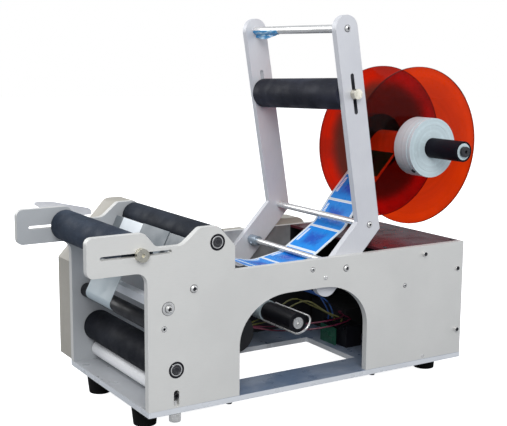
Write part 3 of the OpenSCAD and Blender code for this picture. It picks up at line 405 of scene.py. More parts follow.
FINISHES = {
    "plate_aluminium": plate_metal("plate_aluminium", (0.65, 0.645, 0.62), (0.59, 0.585, 0.565)),
    "arm_aluminium": arm_metal("arm_aluminium"),
    # The cyan tint of turned aluminium is painted: it offsets the red light that the discs bounce onto the
    # hub.
    "turned_aluminium": turned_metal("turned_aluminium", (0.53, 0.63, 0.66), 0.05, 0.42),
    "bright_steel": steel("bright_steel", (0.74, 0.735, 0.72), 0.25, 0.6),
    "dark_steel": steel("dark_steel", (0.045, 0.045, 0.05), 0.35, 0.7, (0.25, 0.25, 0.27)),
    "nickel": steel("nickel", (0.66, 0.63, 0.53), 0.24, 0.85),
    "white_sheet": paint("white_sheet", (0.66, 0.70, 0.74), (0.58, 0.63, 0.68), 0.4),
    "beige_paint": paint("beige_paint", (0.40, 0.375, 0.325), (0.36, 0.338, 0.295), 0.5),
    "black_paint": paint("black_paint", (0.022, 0.022, 0.024), (0.034, 0.034, 0.036), 0.45),
    # Near-black liner: painted shade, a dark sheet inside the body where there is only shade.
    "liner_black": paint("liner_black", (0.010, 0.010, 0.011), (0.016, 0.016, 0.018), 0.6),
    "roller_rubber": rubber("roller_rubber", (0.011, 0.014, 0.021), (0.030, 0.038, 0.055), 0.6, 0.12),
    "foot_rubber": rubber("foot_rubber", (0.006, 0.006, 0.006), (0.010, 0.010, 0.010), 0.7, 0.1),
    "belt_rubber": rubber("belt_rubber", (0.015, 0.015, 0.015), (0.03, 0.03, 0.03), 0.7, 0.3),
    "black_plastic": plastic("black_plastic", (0.008, 0.008, 0.011), 0.42, 0.15, 0.2),
    "red_acrylic": acrylic("red_acrylic", (0.64, 0.034, 0.001), (0.52, 0.026, 0.002)),
    "dark_acrylic": dark_sheet("dark_acrylic", (0.085, 0.018, 0.024), (0.115, 0.045, 0.062)),
    "label_film": paint("label_film", (0.74, 0.78, 0.81), (0.66, 0.70, 0.74), 0.32),
    "board_green": plastic("board_green", (0.012, 0.085, 0.05), 0.35),
    "lead_yellow": plastic("lead_yellow", (0.15, 0.145, 0.035), 0.4, 0.15),
    "lead_blue": plastic("lead_blue", (0.03, 0.10, 0.34), 0.4, 0.15),
    "lead_red": plastic("lead_red", (0.13, 0.008, 0.035), 0.4, 0.15),
}
for part in frame["record"]["subparts"]:
    node = nodes[part["node"]]
    node.data.materials.clear()
    node.data.materials.append(FINISHES[part["material_slot"]])

# Nodes whose tone in the photograph differs from the rest of their slot
DRESS = {
    "guide_collar": turned_metal("collar_steel", (0.30, 0.36, 0.42), 0.5, 0.35),
    "near_arm": arm_metal("near_arm_aluminium", slot=True),
    "peel_plate": peel_sheet("peel_sheet", (0.74, 0.79, 0.83), (0.13, 0.15, 0.165)),
    "base_plate": base_metal("base_aluminium", (0.70, 0.72, 0.75), (0.13, 0.18, 0.27)),
    # The bluish dust tones of the bottle and frame rollers are partly a painted sheen.
    "bottle_sleeve": rubber("bottle_rubber", (0.024, 0.032, 0.048), (0.062, 0.082, 0.118), 0.6, 0.08),
    "lower_sleeve": rubber("lower_rubber", (0.010, 0.011, 0.015), (0.026, 0.029, 0.038), 0.65, 0.08),
    "frame_sleeve": rubber("frame_rubber", (0.011, 0.012, 0.019), (0.036, 0.039, 0.060), 0.55, 0.12),
    "reel_tube": plastic("tube_black", (0.006, 0.005, 0.009), 0.5, 0.1, 0.06),
    # Painted light: pure white and not metallic, so the roller looks lit where it sits in shade.
    "pinch_roller": turned_metal("pinch_aluminium", (1.0, 1.0, 1.0), 0.0, 0.4),
    "cross_bar": paint("bar_white", (0.92, 0.94, 0.97), (0.84, 0.87, 0.91), 0.4),
    "power_supply": paint("supply_black", (0.014, 0.014, 0.015), (0.022, 0.022, 0.024), 0.5),
    # Painted shade: a darker copy of the red acrylic, darkest round its middle.
    "far_disc": acrylic("red_acrylic_far", (0.55, 0.012, 0.002), (0.10, 0.020, 0.014)),
}
for node, finish in DRESS.items():
    nodes[node].data.materials[0] = finish


# Pieces

CLOSING_SHARE = 0.25


class Shape:
    """A mesh that is put together step by step, in millimetres from the base's corner."""

    def __init__(self):
        self.mesh = bmesh.new()
        self.uv = self.mesh.loops.layers.uv.new("UVMap")

    def ring(self, place, turn, height, radius, hexagon, sides):
        """A ring of corners: round where hexagon is 0, six-sided where it is 1."""
        points = []
        for i in range(sides):
            angle = 2 * math.pi * i / sides
            flat = radius / math.cos((angle + math.pi / 6) % (math.pi / 3) - math.pi / 6)
            reach = radius + (flat - radius) * hexagon
            points.append(at(*place) + turn @ Vector((math.cos(angle), math.sin(angle), 0)) * reach * MM
                          + turn @ Z_AXIS * height * MM)
        return [self.mesh.verts.new(p) for p in points]

    def turned(self, place, axis, rings, sides=36):
        """A form turned about an axis, from (height, radius, hexagon) rings. A small last ring is closed."""
        turn = axis.to_track_quat("Z", "Y").to_matrix()
        loops = [self.ring(place, turn, *ring, sides) for ring in rings]
        for low, high in zip(loops, loops[1:]):
            for i in range(sides):
                j = (i + 1) % sides
                self.mesh.faces.new((low[i], low[j], high[j], high[i]))
        if rings[-1][1] < CLOSING_SHARE * max(r for _, r, _ in rings):
            self.mesh.faces.new(loops[-1])

    def piece(self, name, body, slot, finish=None, sharp=35):
        bmesh.ops.recalc_face_normals(self.mesh, faces=self.mesh.faces)
        data = bpy.data.meshes.new(name)
        self.mesh.to_mesh(data)
        self.mesh.free()
        data.shade_smooth()
        data.set_sharp_from_angle(angle=math.radians(sharp))
        made = bpy.data.objects.new(name, data)
        bpy.context.scene.collection.objects.link(made)
        data.materials.append(finish or FINISHES[slot])
        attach(made, body)
        return made


def socket_head(radius, height, socket):
    """Cap screw head with a rounded edge and a hexagon socket."""
    soft = radius * 0.14
    return [
        (-0.3, radius, 0), (height - soft, radius, 0), (height - soft * 0.3, radius - soft * 0.3, 0),
        (height, radius - soft, 0), (height, socket * 1.25, 0), (height - soft * 0.4, socket, 1),
        (height * 0.35, socket, 1), (height * 0.25, socket * 0.2, 1)
    ]


def button_head(radius, height, socket):
    """Domed screw head with a hexagon socket."""
    dome = []
    for step in range(7):
        angle = math.radians(step * 13)
        reach = radius * math.cos(angle) + socket * 0.3 * math.sin(angle)
        dome.append((height * math.sin(angle), reach, 0))
    top = dome[-1][0]
    return [(-0.3, radius, 0)] + [d for d in dome if d[1] > socket * 1.2] + [
        (top, socket * 1.12, 0), (top - 0.15, socket, 1), (top * 0.4, socket, 1), (top * 0.3, socket * 0.2, 1)
    ]


def sunk_head(radius, socket):
    """Countersunk screw head, almost flush, with a fine groove round it."""
    return [
        (-0.3, radius * 1.16, 0), (0.08, radius * 1.14, 0), (0.12, radius * 1.04, 0), (0.02, radius, 0),
        (0.15, radius * 0.92, 0), (0.15, socket * 1.15, 0), (0.05, socket, 1), (-0.2, socket * 0.9, 1),
        (-0.25, socket * 0.2, 1)
    ]


def washer(radius, hole, thick):
    """Flat washer with broken edges."""
    return [
        (-0.2, radius, 0), (thick - 0.2, radius, 0), (thick, radius - 0.2, 0), (thick, hole + 0.2, 0),
        (thick - 0.2, hole, 0), (-0.2, hole, 0)
    ]


def screw(bright, dark, place, facing, radius, height, socket):
    """Button head with a dark socket, standing on a thin dark ring that is a painted contact shadow."""
    bright.turned(place, facing, button_head(radius, height, socket))
    # Painted contact shadow: a thin dark ring round the head.
    dark.turned(place, facing, washer(radius + 0.7, radius - 0.3, 0.15))
    dark.turned(place, facing, [
        (height * 0.5, socket, 1), (height * 0.72, socket, 1), (height * 0.72, socket * 0.2, 1)
    ])


# Screws on the near plate only: x, z, then the head's radius, height and socket
NEAR_SCREWS = ((68.4, 167.8, 5.2, 2.8, 2.6), (261.2, 172.1, 3.2, 1.0, 1.4), (320.3, 167.9, 4.5, 2.8, 2.3))
NEAR_BUTTON = (283.6, 157.9)
NEAR_BUTTON_HEAD = (3.4, 1.2, 1.3)

# Screws on both plates
SMALL_SCREW = (431.7, 129.1)
SMALL_HEAD = (2.9, 0.7, 1.3)
STANDOFFS = ((467.2, 174.3, 4.5), (536.8, 47.2, 4.5), (536.1, 144.4, 2.2))
STANDOFF_RING = (3.4, 1.0)
STANDOFF_HEAD = (2.9, 0.9, 1.4)
SUNK_SCREW = (471.6, 12.9)
SUNK_HEAD = (2.4, 1.1)

# Screws of the cross bar, the rods and the feet
BAR_WASHER = (8.8, 2.5, 0.9)
BAR_SHADE = (9.5, 8.5, 0.2)
BAR_HEAD = (4.9, 4.2, 2.5)
TOP_HEAD = (4.6, 2.6, 2.1)
KNEE_HEAD = (4.2, 2.4, 1.8)
ROD_SHIFT = 1
FOOT_X = (127, 378)
FOOT_Y = 126
FOOT_HEAD = (4.5, 3.5, 2)


def fasteners():
    """Screws that hold the plates, arms, bars and feet."""
    bright = Shape()
    dark = Shape()
    cross = middle("cross_bar")
    for side, skin, facing in ((-1, NEAR_SKIN, NEAR), (1, FAR_SKIN, FAR)):
        bar_x = cross.x + ROD_SHIFT
        bright.turned((bar_x, skin, cross.z), facing, washer(*BAR_WASHER))
        # A thin dark ring round the washer: a painted contact shadow.
        dark.turned((bar_x, skin, cross.z), facing, washer(*BAR_SHADE))
        screw(bright, dark, (bar_x, skin + side * BAR_WASHER[2], cross.z), facing, *BAR_HEAD)
        if side < 0:
            for x, z, *head in NEAR_SCREWS:
                screw(bright, dark, (x, skin, z), facing, *head)
            bright.turned((NEAR_BUTTON[0], skin, NEAR_BUTTON[1]), facing, button_head(*NEAR_BUTTON_HEAD))
        screw(bright, dark, (SMALL_SCREW[0], skin, SMALL_SCREW[1]), facing, *SMALL_HEAD)
        for x, z, reach in STANDOFFS:
            bright.turned((x, skin, z), facing, washer(*STANDOFF_RING, reach))
            dark.turned((x, skin + side * reach, z), facing, socket_head(*STANDOFF_HEAD))
        bright.turned((SUNK_SCREW[0], skin, SUNK_SCREW[1]), facing, sunk_head(*SUNK_HEAD))
    top, knee = middle("top_rod"), middle("knee_rod")
    for arm, facing in ((face("near_arm", 1, 0), NEAR), (face("far_arm", 1, 1), FAR)):
        screw(bright, dark, (top.x + ROD_SHIFT, arm, top.z), facing, *TOP_HEAD)
        screw(bright, dark, (knee.x + ROD_SHIFT, arm, knee.z + ROD_SHIFT), facing, *KNEE_HEAD)
    for x in FOOT_X:
        for side in (-1, 1):
            dark.turned((x, side * FOOT_Y, 0), -Z_AXIS, socket_head(*FOOT_HEAD))
    bright.piece("plate_screws", "frame", "bright_steel")
    # The dark piece also holds the painted contact-shadow rings.
    dark.piece("dark_screws", "frame", "dark_steel")


HUB_SCREW_TURN = 229
HUB_SCREW_DEPTH = 11
HUB_SCREW_SUNK = 0.4
HUB_SCREW_HEAD = (3.6, 1.8, 1.9)
BEAD_SIDES = 96

# The bead's section: height, and how far inside the hub's rim
HUB_BEAD = ((-0.1, 9.0), (0.25, 9.3), (0.3, 9.8), (0.25, 10.3), (-0.1, 10.6))


def hub_screw():
    """Set screw low on the rim of the near hub, and a raised bead on the hub's near face."""
    hub = middle("near_hub")
    radius = (face("near_hub", 2, 1) - face("near_hub", 2, 0)) / 2
    turn = math.radians(HUB_SCREW_TURN)
    out = Vector((math.cos(turn), 0, math.sin(turn)))
    shape = Shape()
    place = Vector((hub.x, hub.y - HUB_SCREW_DEPTH, hub.z)) + out * (radius - HUB_SCREW_SUNK)
    shape.turned(place, out, socket_head(*HUB_SCREW_HEAD))
    shape.piece("hub_screw", "near_flange", "dark_steel")
    bead = Shape()
    bead.turned((hub.x, face("near_hub", 1, 0), hub.z), NEAR,
                [(height, radius - inset, 0) for height, inset in HUB_BEAD], BEAD_SIDES)
    bead.piece("hub_bead", "near_flange", "turned_aluminium")


COVER_HEAD = (3.2, 1.8, 1.2)
CASING_EDGE = 10
CASING_LINE = 150
CASING_REAR_Z = 158
CASING_CREST = (98, 236)
BOX_HEAD = (2.8, 1.6, 1.1)
BOX_EDGE = 6
PANEL_Y = 112
PANEL_Z = (20, 168)
LID_HEAD = (3.0, 1.6, 1.1)
LID_X = (407, 540)
LID_Y = 114


def cover_screws():
    """Small dark screws of the casing, the control box, the end panel and the top cover."""
    shape = Shape()
    skin = face("drive_casing", 1, 1)
    front, rear = CASING_EDGE, face("drive_casing", 0, 1) - CASING_EDGE
    foot = face("drive_casing", 2, 0) + CASING_EDGE
    places = ((front, foot), (front, CASING_LINE), (rear, foot), (rear, CASING_REAR_Z),
              (CASING_LINE, CASING_REAR_Z), (CASING_LINE, foot), CASING_CREST)
    for x, z in places:
        shape.turned((x, skin, z), FAR, button_head(*COVER_HEAD))
    lid = face("control_box", 1, 1)
    for x in (face("control_box", 0, 0) + BOX_EDGE, face("control_box", 0, 1) - BOX_EDGE):
        for z in (face("control_box", 2, 0) + BOX_EDGE, face("control_box", 2, 1) - BOX_EDGE):
            shape.turned((x, lid, z), FAR, button_head(*BOX_HEAD))
    panel = face("end_panel", 0, 1)
    for y in (-PANEL_Y, PANEL_Y):
        for z in PANEL_Z:
            shape.turned((panel, y, z), X_AXIS, button_head(*COVER_HEAD))
    cover = face("top_cover", 2, 1)
    for x in LID_X:
        for y in (-LID_Y, LID_Y):
            shape.turned((x, y, cover), Z_AXIS, button_head(*LID_HEAD))
    shape.piece("cover_screws", "frame", "dark_steel")


ROUND_SIDES = 48
SEAL_RING = (11.4, 8.5, 0.5)
INNER_RING = (8.5, 7.2, 0.45)
GUIDE_RING = (3.6, 1.8, 0.5)
CAP_SUNK = 0.35
GUIDE_SUNK = 0.05

# A shaft cap with a turned groove and a hexagon socket: height, radius, hexagon
SHAFT_CAP = [
    (0, 6.9, 0), (0.5, 6.9, 0), (0.8, 6.6, 0), (0.8, 5.6, 0), (0.5, 5.3, 0), (0.5, 4.4, 0), (0.9, 4.2, 0),
    (0.9, 3.6, 0), (0.7, 3.0, 1), (-0.1, 2.8, 1), (-0.2, 0.6, 1)
]


def bearing_faces():
    """Seals and rings of the drive rollers' bearings, caps on their shafts and the guide roller's ring."""
    cap_steel = steel("cap_steel", (0.055, 0.055, 0.06), 0.35, 0.6, (0.6, 0.6, 0.62))
    seals = Shape()
    shine = Shape()
    for node, body in (("lower_core", "lower_roller"), ("upper_core", "upper_roller")):
        axis = middle(node)
        seals.turned((axis.x, NEAR_SKIN, axis.z), NEAR, washer(*SEAL_RING), ROUND_SIDES)
        shine.turned((axis.x, NEAR_SKIN, axis.z), NEAR, washer(*INNER_RING), ROUND_SIDES)
        cap = Shape()
        cap.turned((axis.x, NEAR_SKIN - CAP_SUNK, axis.z), NEAR, SHAFT_CAP, ROUND_SIDES)
        cap.piece(node.replace("core", "cap"), body, "dark_steel", cap_steel)
    guide = middle("guide_roller")
    end = Shape()
    end.turned((guide.x, NEAR_SKIN - GUIDE_SUNK, guide.z), NEAR, washer(*GUIDE_RING))
    end.piece("guide_ring", "guide", "bright_steel")
    seals.piece("bearing_seals", "frame", "black_plastic")
    shine.piece("bearing_rings", "frame", "bright_steel")


# Label web, in millimetres

LABEL_PITCH = 53.0
LABEL_FIRST = 31.0
LABEL_LAST = 455.0
LABEL_GAP = 2.4
LABEL_MARGIN = 4.0
LABEL_THICK = 0.15
LABEL_ROUND = 2.0
LABEL_SLACK = 0.5
CORNER_SHARES = (0.0, 0.08, 0.3, 0.6)
WEB_THICK = 0.5
WEB_STEP = 2.5
WEB_SHARP = 60
UV_UNIT = 100.0
CURL_RADIUS = 10.0
CURL_TURN = 85
CURL_START = 12.0
CURL_STEPS = 16
SAME_PLACE = 1e-6
FLAT_SIDE = 0.9
STATION_GAP = 0.05


def printed_side():
    """The side of the web that carries the labels, as (x, z) points from the roll to the end of the tail."""
    web = nodes["label_web"].data
    b = bmesh.new()
    b.from_mesh(web)
    bmesh.ops.remove_doubles(b, verts=b.verts, dist=SAME_PLACE)
    near = min(v.co.y for v in b.verts)
    beside = {}
    for edge in b.edges:
        ends = edge.verts
        flat = sum(abs(f.normal.y) > FLAT_SIDE for f in edge.link_faces)
        if all(abs(v.co.y - near) < SAME_PLACE for v in ends) and flat == 1:
            beside.setdefault(ends[0], []).append(ends[1])
            beside.setdefault(ends[1], []).append(ends[0])
    walk = [max(beside, key=lambda v: v.co.z)]
    lowest = min(beside, key=lambda v: v.co.x)
    seen = set(walk)
    ahead = [max(beside[walk[0]], key=lambda v: (v.co - walk[0].co).length)]
    while ahead and walk[-1] is not lowest:
        walk.append(ahead[0])
        seen.add(ahead[0])
        ahead = [v for v in beside[walk[-1]] if v not in seen]
    places = [(v.co - CORNER) / MM for v in walk]
    b.free()
    return [(p.x, p.z) for p in places]


def web_course():
    """The printed side from the roll to the tail, whose end curls under as used paper does."""
    points = printed_side()
    (x0, z0), (x1, z1) = points[-2:]
    length = math.dist((x0, z0), (x1, z1))
    along = ((x1 - x0) / length, (z1 - z0) / length)
    left = (-along[1], along[0])
    start = (x1 - along[0] * CURL_START, z1 - along[1] * CURL_START)
    course = points[:-1] + [start]
    for step in range(1, CURL_STEPS + 1):
        turn = math.radians(CURL_TURN * step / CURL_STEPS)
        on = CURL_RADIUS * math.sin(turn)
        aside = CURL_RADIUS * (1 - math.cos(turn))
        course.append(tuple(start[k] + along[k] * on + left[k] * aside for k in (0, 1)))
    return course


class Course:
    """A line in the XZ plane that can be asked for its place and outward direction at any length along it."""

    def __init__(self, points):
        self.points = points
        self.lengths = [0.0]
        for a, b in zip(points, points[1:]):
            self.lengths.append(self.lengths[-1] + math.dist(a, b))

    def place(self, s, lift=0.0):
        i = max(k for k in range(len(self.points) - 1) if self.lengths[k] <= max(s, 0.0))
        a, b = self.points[i], self.points[i + 1]
        span = self.lengths[i + 1] - self.lengths[i]
        t = (s - self.lengths[i]) / span
        out = ((b[1] - a[1]) / span, -(b[0] - a[0]) / span)
        return a[0] + (b[0] - a[0]) * t + out[0] * lift, a[1] + (b[1] - a[1]) * t + out[1] * lift

    def stations(self, start, end, step):
        """Lengths from start to end, at every bend and no further apart than a step."""
        bends = [s for s in self.lengths if start + STATION_GAP < s < end - STATION_GAP]
        marks = [start] + bends + [end]
        full = []
        for a, b in zip(marks, marks[1:]):
            parts = max(1, math.ceil((b - a) / step))
            full += [a + (b - a) * k / parts for k in range(parts)]
        return full + [end]


def strip(shape, course, stations, sides, top, bottom):
    """A thin strip along the course. Lengths and widths become its UV map, in tenths of a metre."""
    rows = []
    for s in stations:
        low, high = sides(s)
        row = []
        for lift in (top, bottom):
            for share in (0, 0.25, 0.5, 0.75, 1):
                x, z = course.place(s, lift)
                y = low + (high - low) * share
                row.append((shape.mesh.verts.new(at(x, y, z)), (s - stations[0], y - sides(None)[0])))
        rows.append(row)
    mark = {corner: place for row in rows for corner, place in row}
    loops = []
    for a, b in zip(rows, rows[1:]):
        loops += [(a[k], a[k + 1], b[k + 1], b[k]) for k in (0, 1, 2, 3, 5, 6, 7, 8)]
        loops += [(a[0], a[5], b[5], b[0]), (a[4], a[9], b[9], b[4])]
    for row in (rows[0], rows[-1]):
        loops += [(row[k], row[k + 1], row[k + 6], row[k + 5]) for k in range(4)]
    for loop in loops:
        made = shape.mesh.faces.new([corner for corner, _ in loop])
        for corner in made.loops:
            s, y = mark[corner.vert]
            corner[shape.uv].uv = (s / UV_UNIT, y / UV_UNIT)


# Where the web bends over the peel plate's lip and where it leaves it, in the UV map's unit
LIP_IN = (4.40, 4.62)
LIP_OUT = (5.80, 6.05)


def web_paper():
    """Backing paper: white with a faint weave, dark grey painted shade over the peel plate's lip and grey on
    the tail.
    """
    white = (0.70, 0.75, 0.79)
    f = Finish("web_paper", white, 0.0, 0.4, spread=0.08, round_edge=0.1, Specular_IOR_Level=0.3)
    f.patches((0.60, 0.66, 0.71), 0.6, 0.35, 0.7, grain=26)
    along = f.node("ShaderNodeSeparateXYZ", Vector=f.node("ShaderNodeUVMap").outputs[0]).outputs["X"]
    lip = f.all_of(f.span(along, *LIP_IN), f.span(along, LIP_OUT[1], LIP_OUT[0]))
    # Painted shade: dark grey where the web bends over the lip under the drive roller.
    f.blend(f.math("MULTIPLY", lip, 0.9), (0.11, 0.13, 0.145))
    f.blend(f.math("MULTIPLY", f.span(along, *LIP_OUT), 0.9), (0.37, 0.44, 0.47))
    f.bump(f.noise(1.1, stretch=(1, 8, 1), detail=2.0), 0.03, 0.3)
    return f.edges((0.9, 0.92, 0.94), 0.3).done()


web_near, web_far = face("label_web", 1, 0), face("label_web", 1, 1)
web_width = web_far - web_near

# The label's row of bars: pitch, the bar's start as a share of it, place, half height and half length
BAR_PITCH = 2.7
BAR_START = (0.32, 0.4)
BAR_EDGE = 6
BAR_HALF_HEIGHT = (3.1, 2.7)
BAR_MIDDLE = 22.0
BAR_HALF_LENGTH = (15.0, 14.6)
BORDER = (1.25, 0.85)


def label_print():
    """Generic blue label: a deeper middle, a thin white border and a short row of plain white bars."""
    blue = (0.004, 0.24, 0.74)
    f = Finish("label_print", blue, 0.0, 0.3, spread=0.06, round_edge=0.05, Specular_IOR_Level=0.25)
    parts = f.node("ShaderNodeSeparateXYZ", Vector=f.node("ShaderNodeUVMap").outputs[0])
    along = f.math("MULTIPLY", parts.outputs["X"], UV_UNIT)
    across = f.math("MULTIPLY", parts.outputs["Y"], UV_UNIT)
    length = LABEL_PITCH - LABEL_GAP
    width = web_width - 2 * LABEL_MARGIN
    from_end = f.math("MINIMUM", along, f.math("SUBTRACT", length, along))
    from_side = f.math("MINIMUM", across, f.math("SUBTRACT", width, across))
    end_share = f.math("DIVIDE", from_end, length / 2)
    inward = f.math("MINIMUM", end_share, f.math("DIVIDE", from_side, width / 2))
    cloudy = f.math("ADD", inward, f.math("MULTIPLY", f.noise(14, detail=3.0), 0.5))
    f.blend(f.span(cloudy, 0.5, 1.1, 0.0, 0.92), (0.004, 0.07, 0.46))
    # Lighter blue patches: painted highlights.
    f.patches((0.01, 0.40, 0.88), 0.3, 0.56, 0.7, grain=9, detail=4.0)
    border = f.math("MINIMUM", from_end, from_side)
    f.blend(f.span(border, *BORDER), (0.86, 0.92, 0.95))
    beat = f.math("FRACT", f.math("DIVIDE", along, BAR_PITCH))
    from_row = f.math("ABSOLUTE", f.math("SUBTRACT", across, width - BAR_EDGE))
    from_middle = f.math("ABSOLUTE", f.math("SUBTRACT", along, BAR_MIDDLE))
    bars = f.all_of(f.span(beat, *BAR_START), f.span(from_row, *BAR_HALF_HEIGHT),
                    f.span(from_middle, *BAR_HALF_LENGTH))
    f.blend(bars, (0.90, 0.96, 0.99))
    f.bump(border, 0.02, 0.1)
    return f.done()


def label_web():
    """The web of backing paper from the roll to its tail, with the labels that stand on it."""
    course = Course(web_course())
    paper = Shape()
    along = course.stations(0.0, course.lengths[-1], WEB_STEP * 2)
    strip(paper, course, along, lambda s: (web_near, web_far), 0.0, -WEB_THICK)
    made = paper.piece("label_web_paper", "frame", "label_film", web_paper(), sharp=WEB_SHARP)
    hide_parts("label_web")
    labels = Shape()
    start = LABEL_FIRST
    while start + LABEL_PITCH <= LABEL_LAST + LABEL_SLACK:
        first, last = start + LABEL_GAP / 2, start + LABEL_PITCH - LABEL_GAP / 2

        def sides(s):
            low, high = web_near + LABEL_MARGIN, web_far - LABEL_MARGIN
            if s is None:
                return low, high
            short = max(LABEL_ROUND - min(s - first, last - s), 0.0)
            inset = LABEL_ROUND - math.sqrt(max(LABEL_ROUND ** 2 - short ** 2, 0.0))
            return low + inset, high - inset

        corner = [LABEL_ROUND * share for share in CORNER_SHARES]
        stations = [first + c for c in corner]
        stations += course.stations(first + LABEL_ROUND, last - LABEL_ROUND, WEB_STEP)
        stations += [last - c for c in reversed(corner)]
        strip(labels, course, stations, sides, LABEL_THICK, -LABEL_THICK)
        start += LABEL_PITCH
    labels.piece("labels", "frame", "label_film", label_print(), sharp=WEB_SHARP)


FILM_LENGTH = 66
FILM_STEPS = 44
FILM_ROUND_STEPS = 12
FILM_START_TURN = 180
FILM_TURN = 85
FILM_END_GAP = 1
FILM_STAND = 0.6
FILM_SKIN = 0.1
FILM_RIPPLE = 0.25
FILM_HANG = 6.5
FILM_LEAST_HANG = 0.3
FILM_SWAY = 0.9
FILM_THICK = 0.5
FILM_SHARP = 50


def blue_film():
    """A scrap of thin blue film on the lower side of the top rod's far end, with a loose hanging edge."""
    rod = middle("top_rod")
    radius = (face("top_rod", 2, 1) - face("top_rod", 2, 0)) / 2
    end = face("top_rod", 1, 1) - FILM_END_GAP
    shape = Shape()
    loops = []
    for i in range(FILM_STEPS + 1):
        share = i / FILM_STEPS
        hang = FILM_HANG * math.sin(math.pi * min(share * 0.9 + 0.2, 1.0)) + FILM_LEAST_HANG
        sway = FILM_SWAY * math.sin(share * 17)
        outer, inner = [], []
        for j in range(FILM_ROUND_STEPS + 1):
            turn = math.radians(FILM_START_TURN + FILM_TURN * j / FILM_ROUND_STEPS)
            reach = radius + FILM_STAND + FILM_RIPPLE * math.sin(share * 29 + j * 0.7)
            rest = radius + FILM_SKIN
            outer.append((rod.x + reach * math.cos(turn), rod.z + reach * math.sin(turn)))
            inner.append((rod.x + rest * math.cos(turn), rod.z + rest * math.sin(turn)))
        foot = outer[-1]
        flap = [(foot[0] + sway * k / 3, foot[1] - hang * k / 3) for k in (1, 2, 3)]
        back = [(x + FILM_THICK, z) for x, z in reversed(flap)]
        section = outer + flap + back + inner[::-1]
        loops.append([shape.mesh.verts.new(at(x, end - share * FILM_LENGTH, z)) for x, z in section])
    for a, b in zip(loops, loops[1:]):
        for j in range(len(a)):
            k = (j + 1) % len(a)
            shape.mesh.faces.new((a[j], a[k], b[k], b[j]))
    shape.mesh.faces.new(loops[0])
    shape.mesh.faces.new(loops[-1])
    f = Finish("blue_film", (0.04, 0.30, 0.62), 0.0, 0.25, round_edge=0.1)
    f.patches((0.50, 0.74, 0.88), 1.0, 0.50, 0.64, grain=6, stretch=(1, 4, 1), detail=4.0)
    f.bump(f.noise(3.5), 0.15, 0.6)
    shape.piece("blue_film", "frame", "black_plastic", f.done(), sharp=FILM_SHARP)


# Floor, camera and light

FLOOR_RADIUS = 9.0
FLOOR_SIDES = 96
FLOOR_DROP = 0.2
FLOOR_GLOW = 0.92


def seen_straight(tree):
    """1 for what the camera sees, also through clear sheet, and 0 for light that falls on the machine."""
    path = tree.nodes.new("ShaderNodeLightPath")
    seen = tree.nodes.new("ShaderNodeMath")
    seen.operation = "MAXIMUM"
    tree.links.new(path.outputs["Is Camera Ray"], seen.inputs[0])
    tree.links.new(path.outputs["Is Transmission Ray"], seen.inputs[1])
    return seen.outputs[0]


def floor():
    """A wide pale disc under the machine, white to the eye and greyer in the light that it throws."""
    mesh = bpy.data.meshes.new("floor")
    b = bmesh.new()
    bmesh.ops.create_circle(b, cap_ends=True, radius=FLOOR_RADIUS, segments=FLOOR_SIDES)
    b.to_mesh(mesh)
    b.free()
    piece = bpy.data.objects.new("floor", mesh)
    piece.location = (0, 0, -FLOOR_DROP * MM)
    bpy.context.scene.collection.objects.link(piece)
    f = Finish("floor_paper", (0.92, 0.92, 0.92), 0.0, 0.8, round_edge=0.1)
    f.patches((0.90, 0.90, 0.90), 0.5, 0.3, 0.7, grain=900)
    path = f.node("ShaderNodeLightPath").outputs
    seen = seen_straight(f.tree)
    f.plug(f.shader.inputs["Emission Strength"], f.math("MULTIPLY", seen, FLOOR_GLOW))
    f.shader.inputs["Emission Color"].default_value = (1, 1, 1, 1)
    f.blend(f.math("SUBTRACT", 1.0, seen), (0.30, 0.31, 0.33))
    f.blend(path["Is Transmission Ray"], (0.02, 0.02, 0.02))
    mesh.materials.append(f.done())


CAMERA_PLACE = (-565.4, -1273.4, 483.4)
CAMERA_YAW = 30.0
CAMERA_PITCH = 9.25
PHOTO_SIZE = (507, 426)
PHOTO_FOCAL = 1012.0
PHOTO_CENTRE = (210.1, 211.8)
SENSOR = 36.0


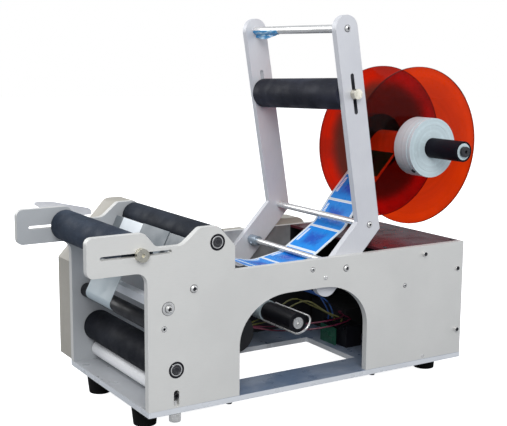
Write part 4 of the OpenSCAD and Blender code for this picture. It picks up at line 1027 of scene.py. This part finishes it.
def camera():
    """A camera at the photograph's viewing angle, shifted as the photograph's cut is."""
    data = bpy.data.cameras.new("camera")
    data.sensor_fit = "HORIZONTAL"
    data.sensor_width = SENSOR
    data.lens = SENSOR * PHOTO_FOCAL / PHOTO_SIZE[0]
    data.shift_x = (PHOTO_SIZE[0] / 2 - PHOTO_CENTRE[0]) / PHOTO_SIZE[0]
    data.shift_y = (PHOTO_CENTRE[1] - PHOTO_SIZE[1] / 2) / PHOTO_SIZE[0]
    piece = bpy.data.objects.new("camera", data)
    piece.location = at(*CAMERA_PLACE)
    piece.rotation_euler = (math.radians(90 - CAMERA_PITCH), 0, math.radians(-CAMERA_YAW))
    bpy.context.scene.collection.objects.link(piece)
    bpy.context.scene.camera = piece


# Name, place and size in metres, power in watts, colour
LIGHTS = (
    ("key", (-1.0, -1.9, 1.6), 1.4, 42, (1, 1, 1)),
    ("back", (-1.3, 2.2, 1.2), 1.6, 24, (1, 1, 1)),
    ("overhead", (-0.2, 0.3, 2.4), 1.8, 22, (0.96, 0.98, 1.0)),
    ("fill", (1.8, -1.4, 0.9), 1.6, 10, (0.95, 0.97, 1.0)),
)
LIGHT_TARGET = Vector((0, 0, 0.2))


def softbox(name, place, size, power, colour):
    """A square soft light that faces the machine."""
    data = bpy.data.lights.new(name, "AREA")
    data.size = size
    data.energy = power
    data.color = colour
    piece = bpy.data.objects.new(name, data)
    piece.location = place
    piece.rotation_euler = (LIGHT_TARGET - Vector(place)).to_track_quat("-Z", "Y").to_euler()
    bpy.context.scene.collection.objects.link(piece)


def sky():
    """White backdrop for the eye and through clear sheet, and softer grey for the light on the machine."""
    world = bpy.data.worlds.new("studio")
    world.use_nodes = True
    tree = world.node_tree
    background = tree.nodes["Background"]
    mix = tree.nodes.new("ShaderNodeMix")
    mix.data_type = "RGBA"
    tree.links.new(seen_straight(tree), mix.inputs["Factor"])
    mix.inputs[6].default_value = (0.42, 0.44, 0.47, 1.0)
    mix.inputs[7].default_value = (1.0, 1.0, 1.0, 1.0)
    tree.links.new(mix.outputs[2], background.inputs["Color"])
    bpy.context.scene.world = world


fasteners()
hub_screw()
cover_screws()
bearing_faces()
label_web()
blue_film()
floor()
camera()
for light in LIGHTS:
    softbox(*light)
sky()
bpy.context.scene.view_settings.view_transform = "Standard"
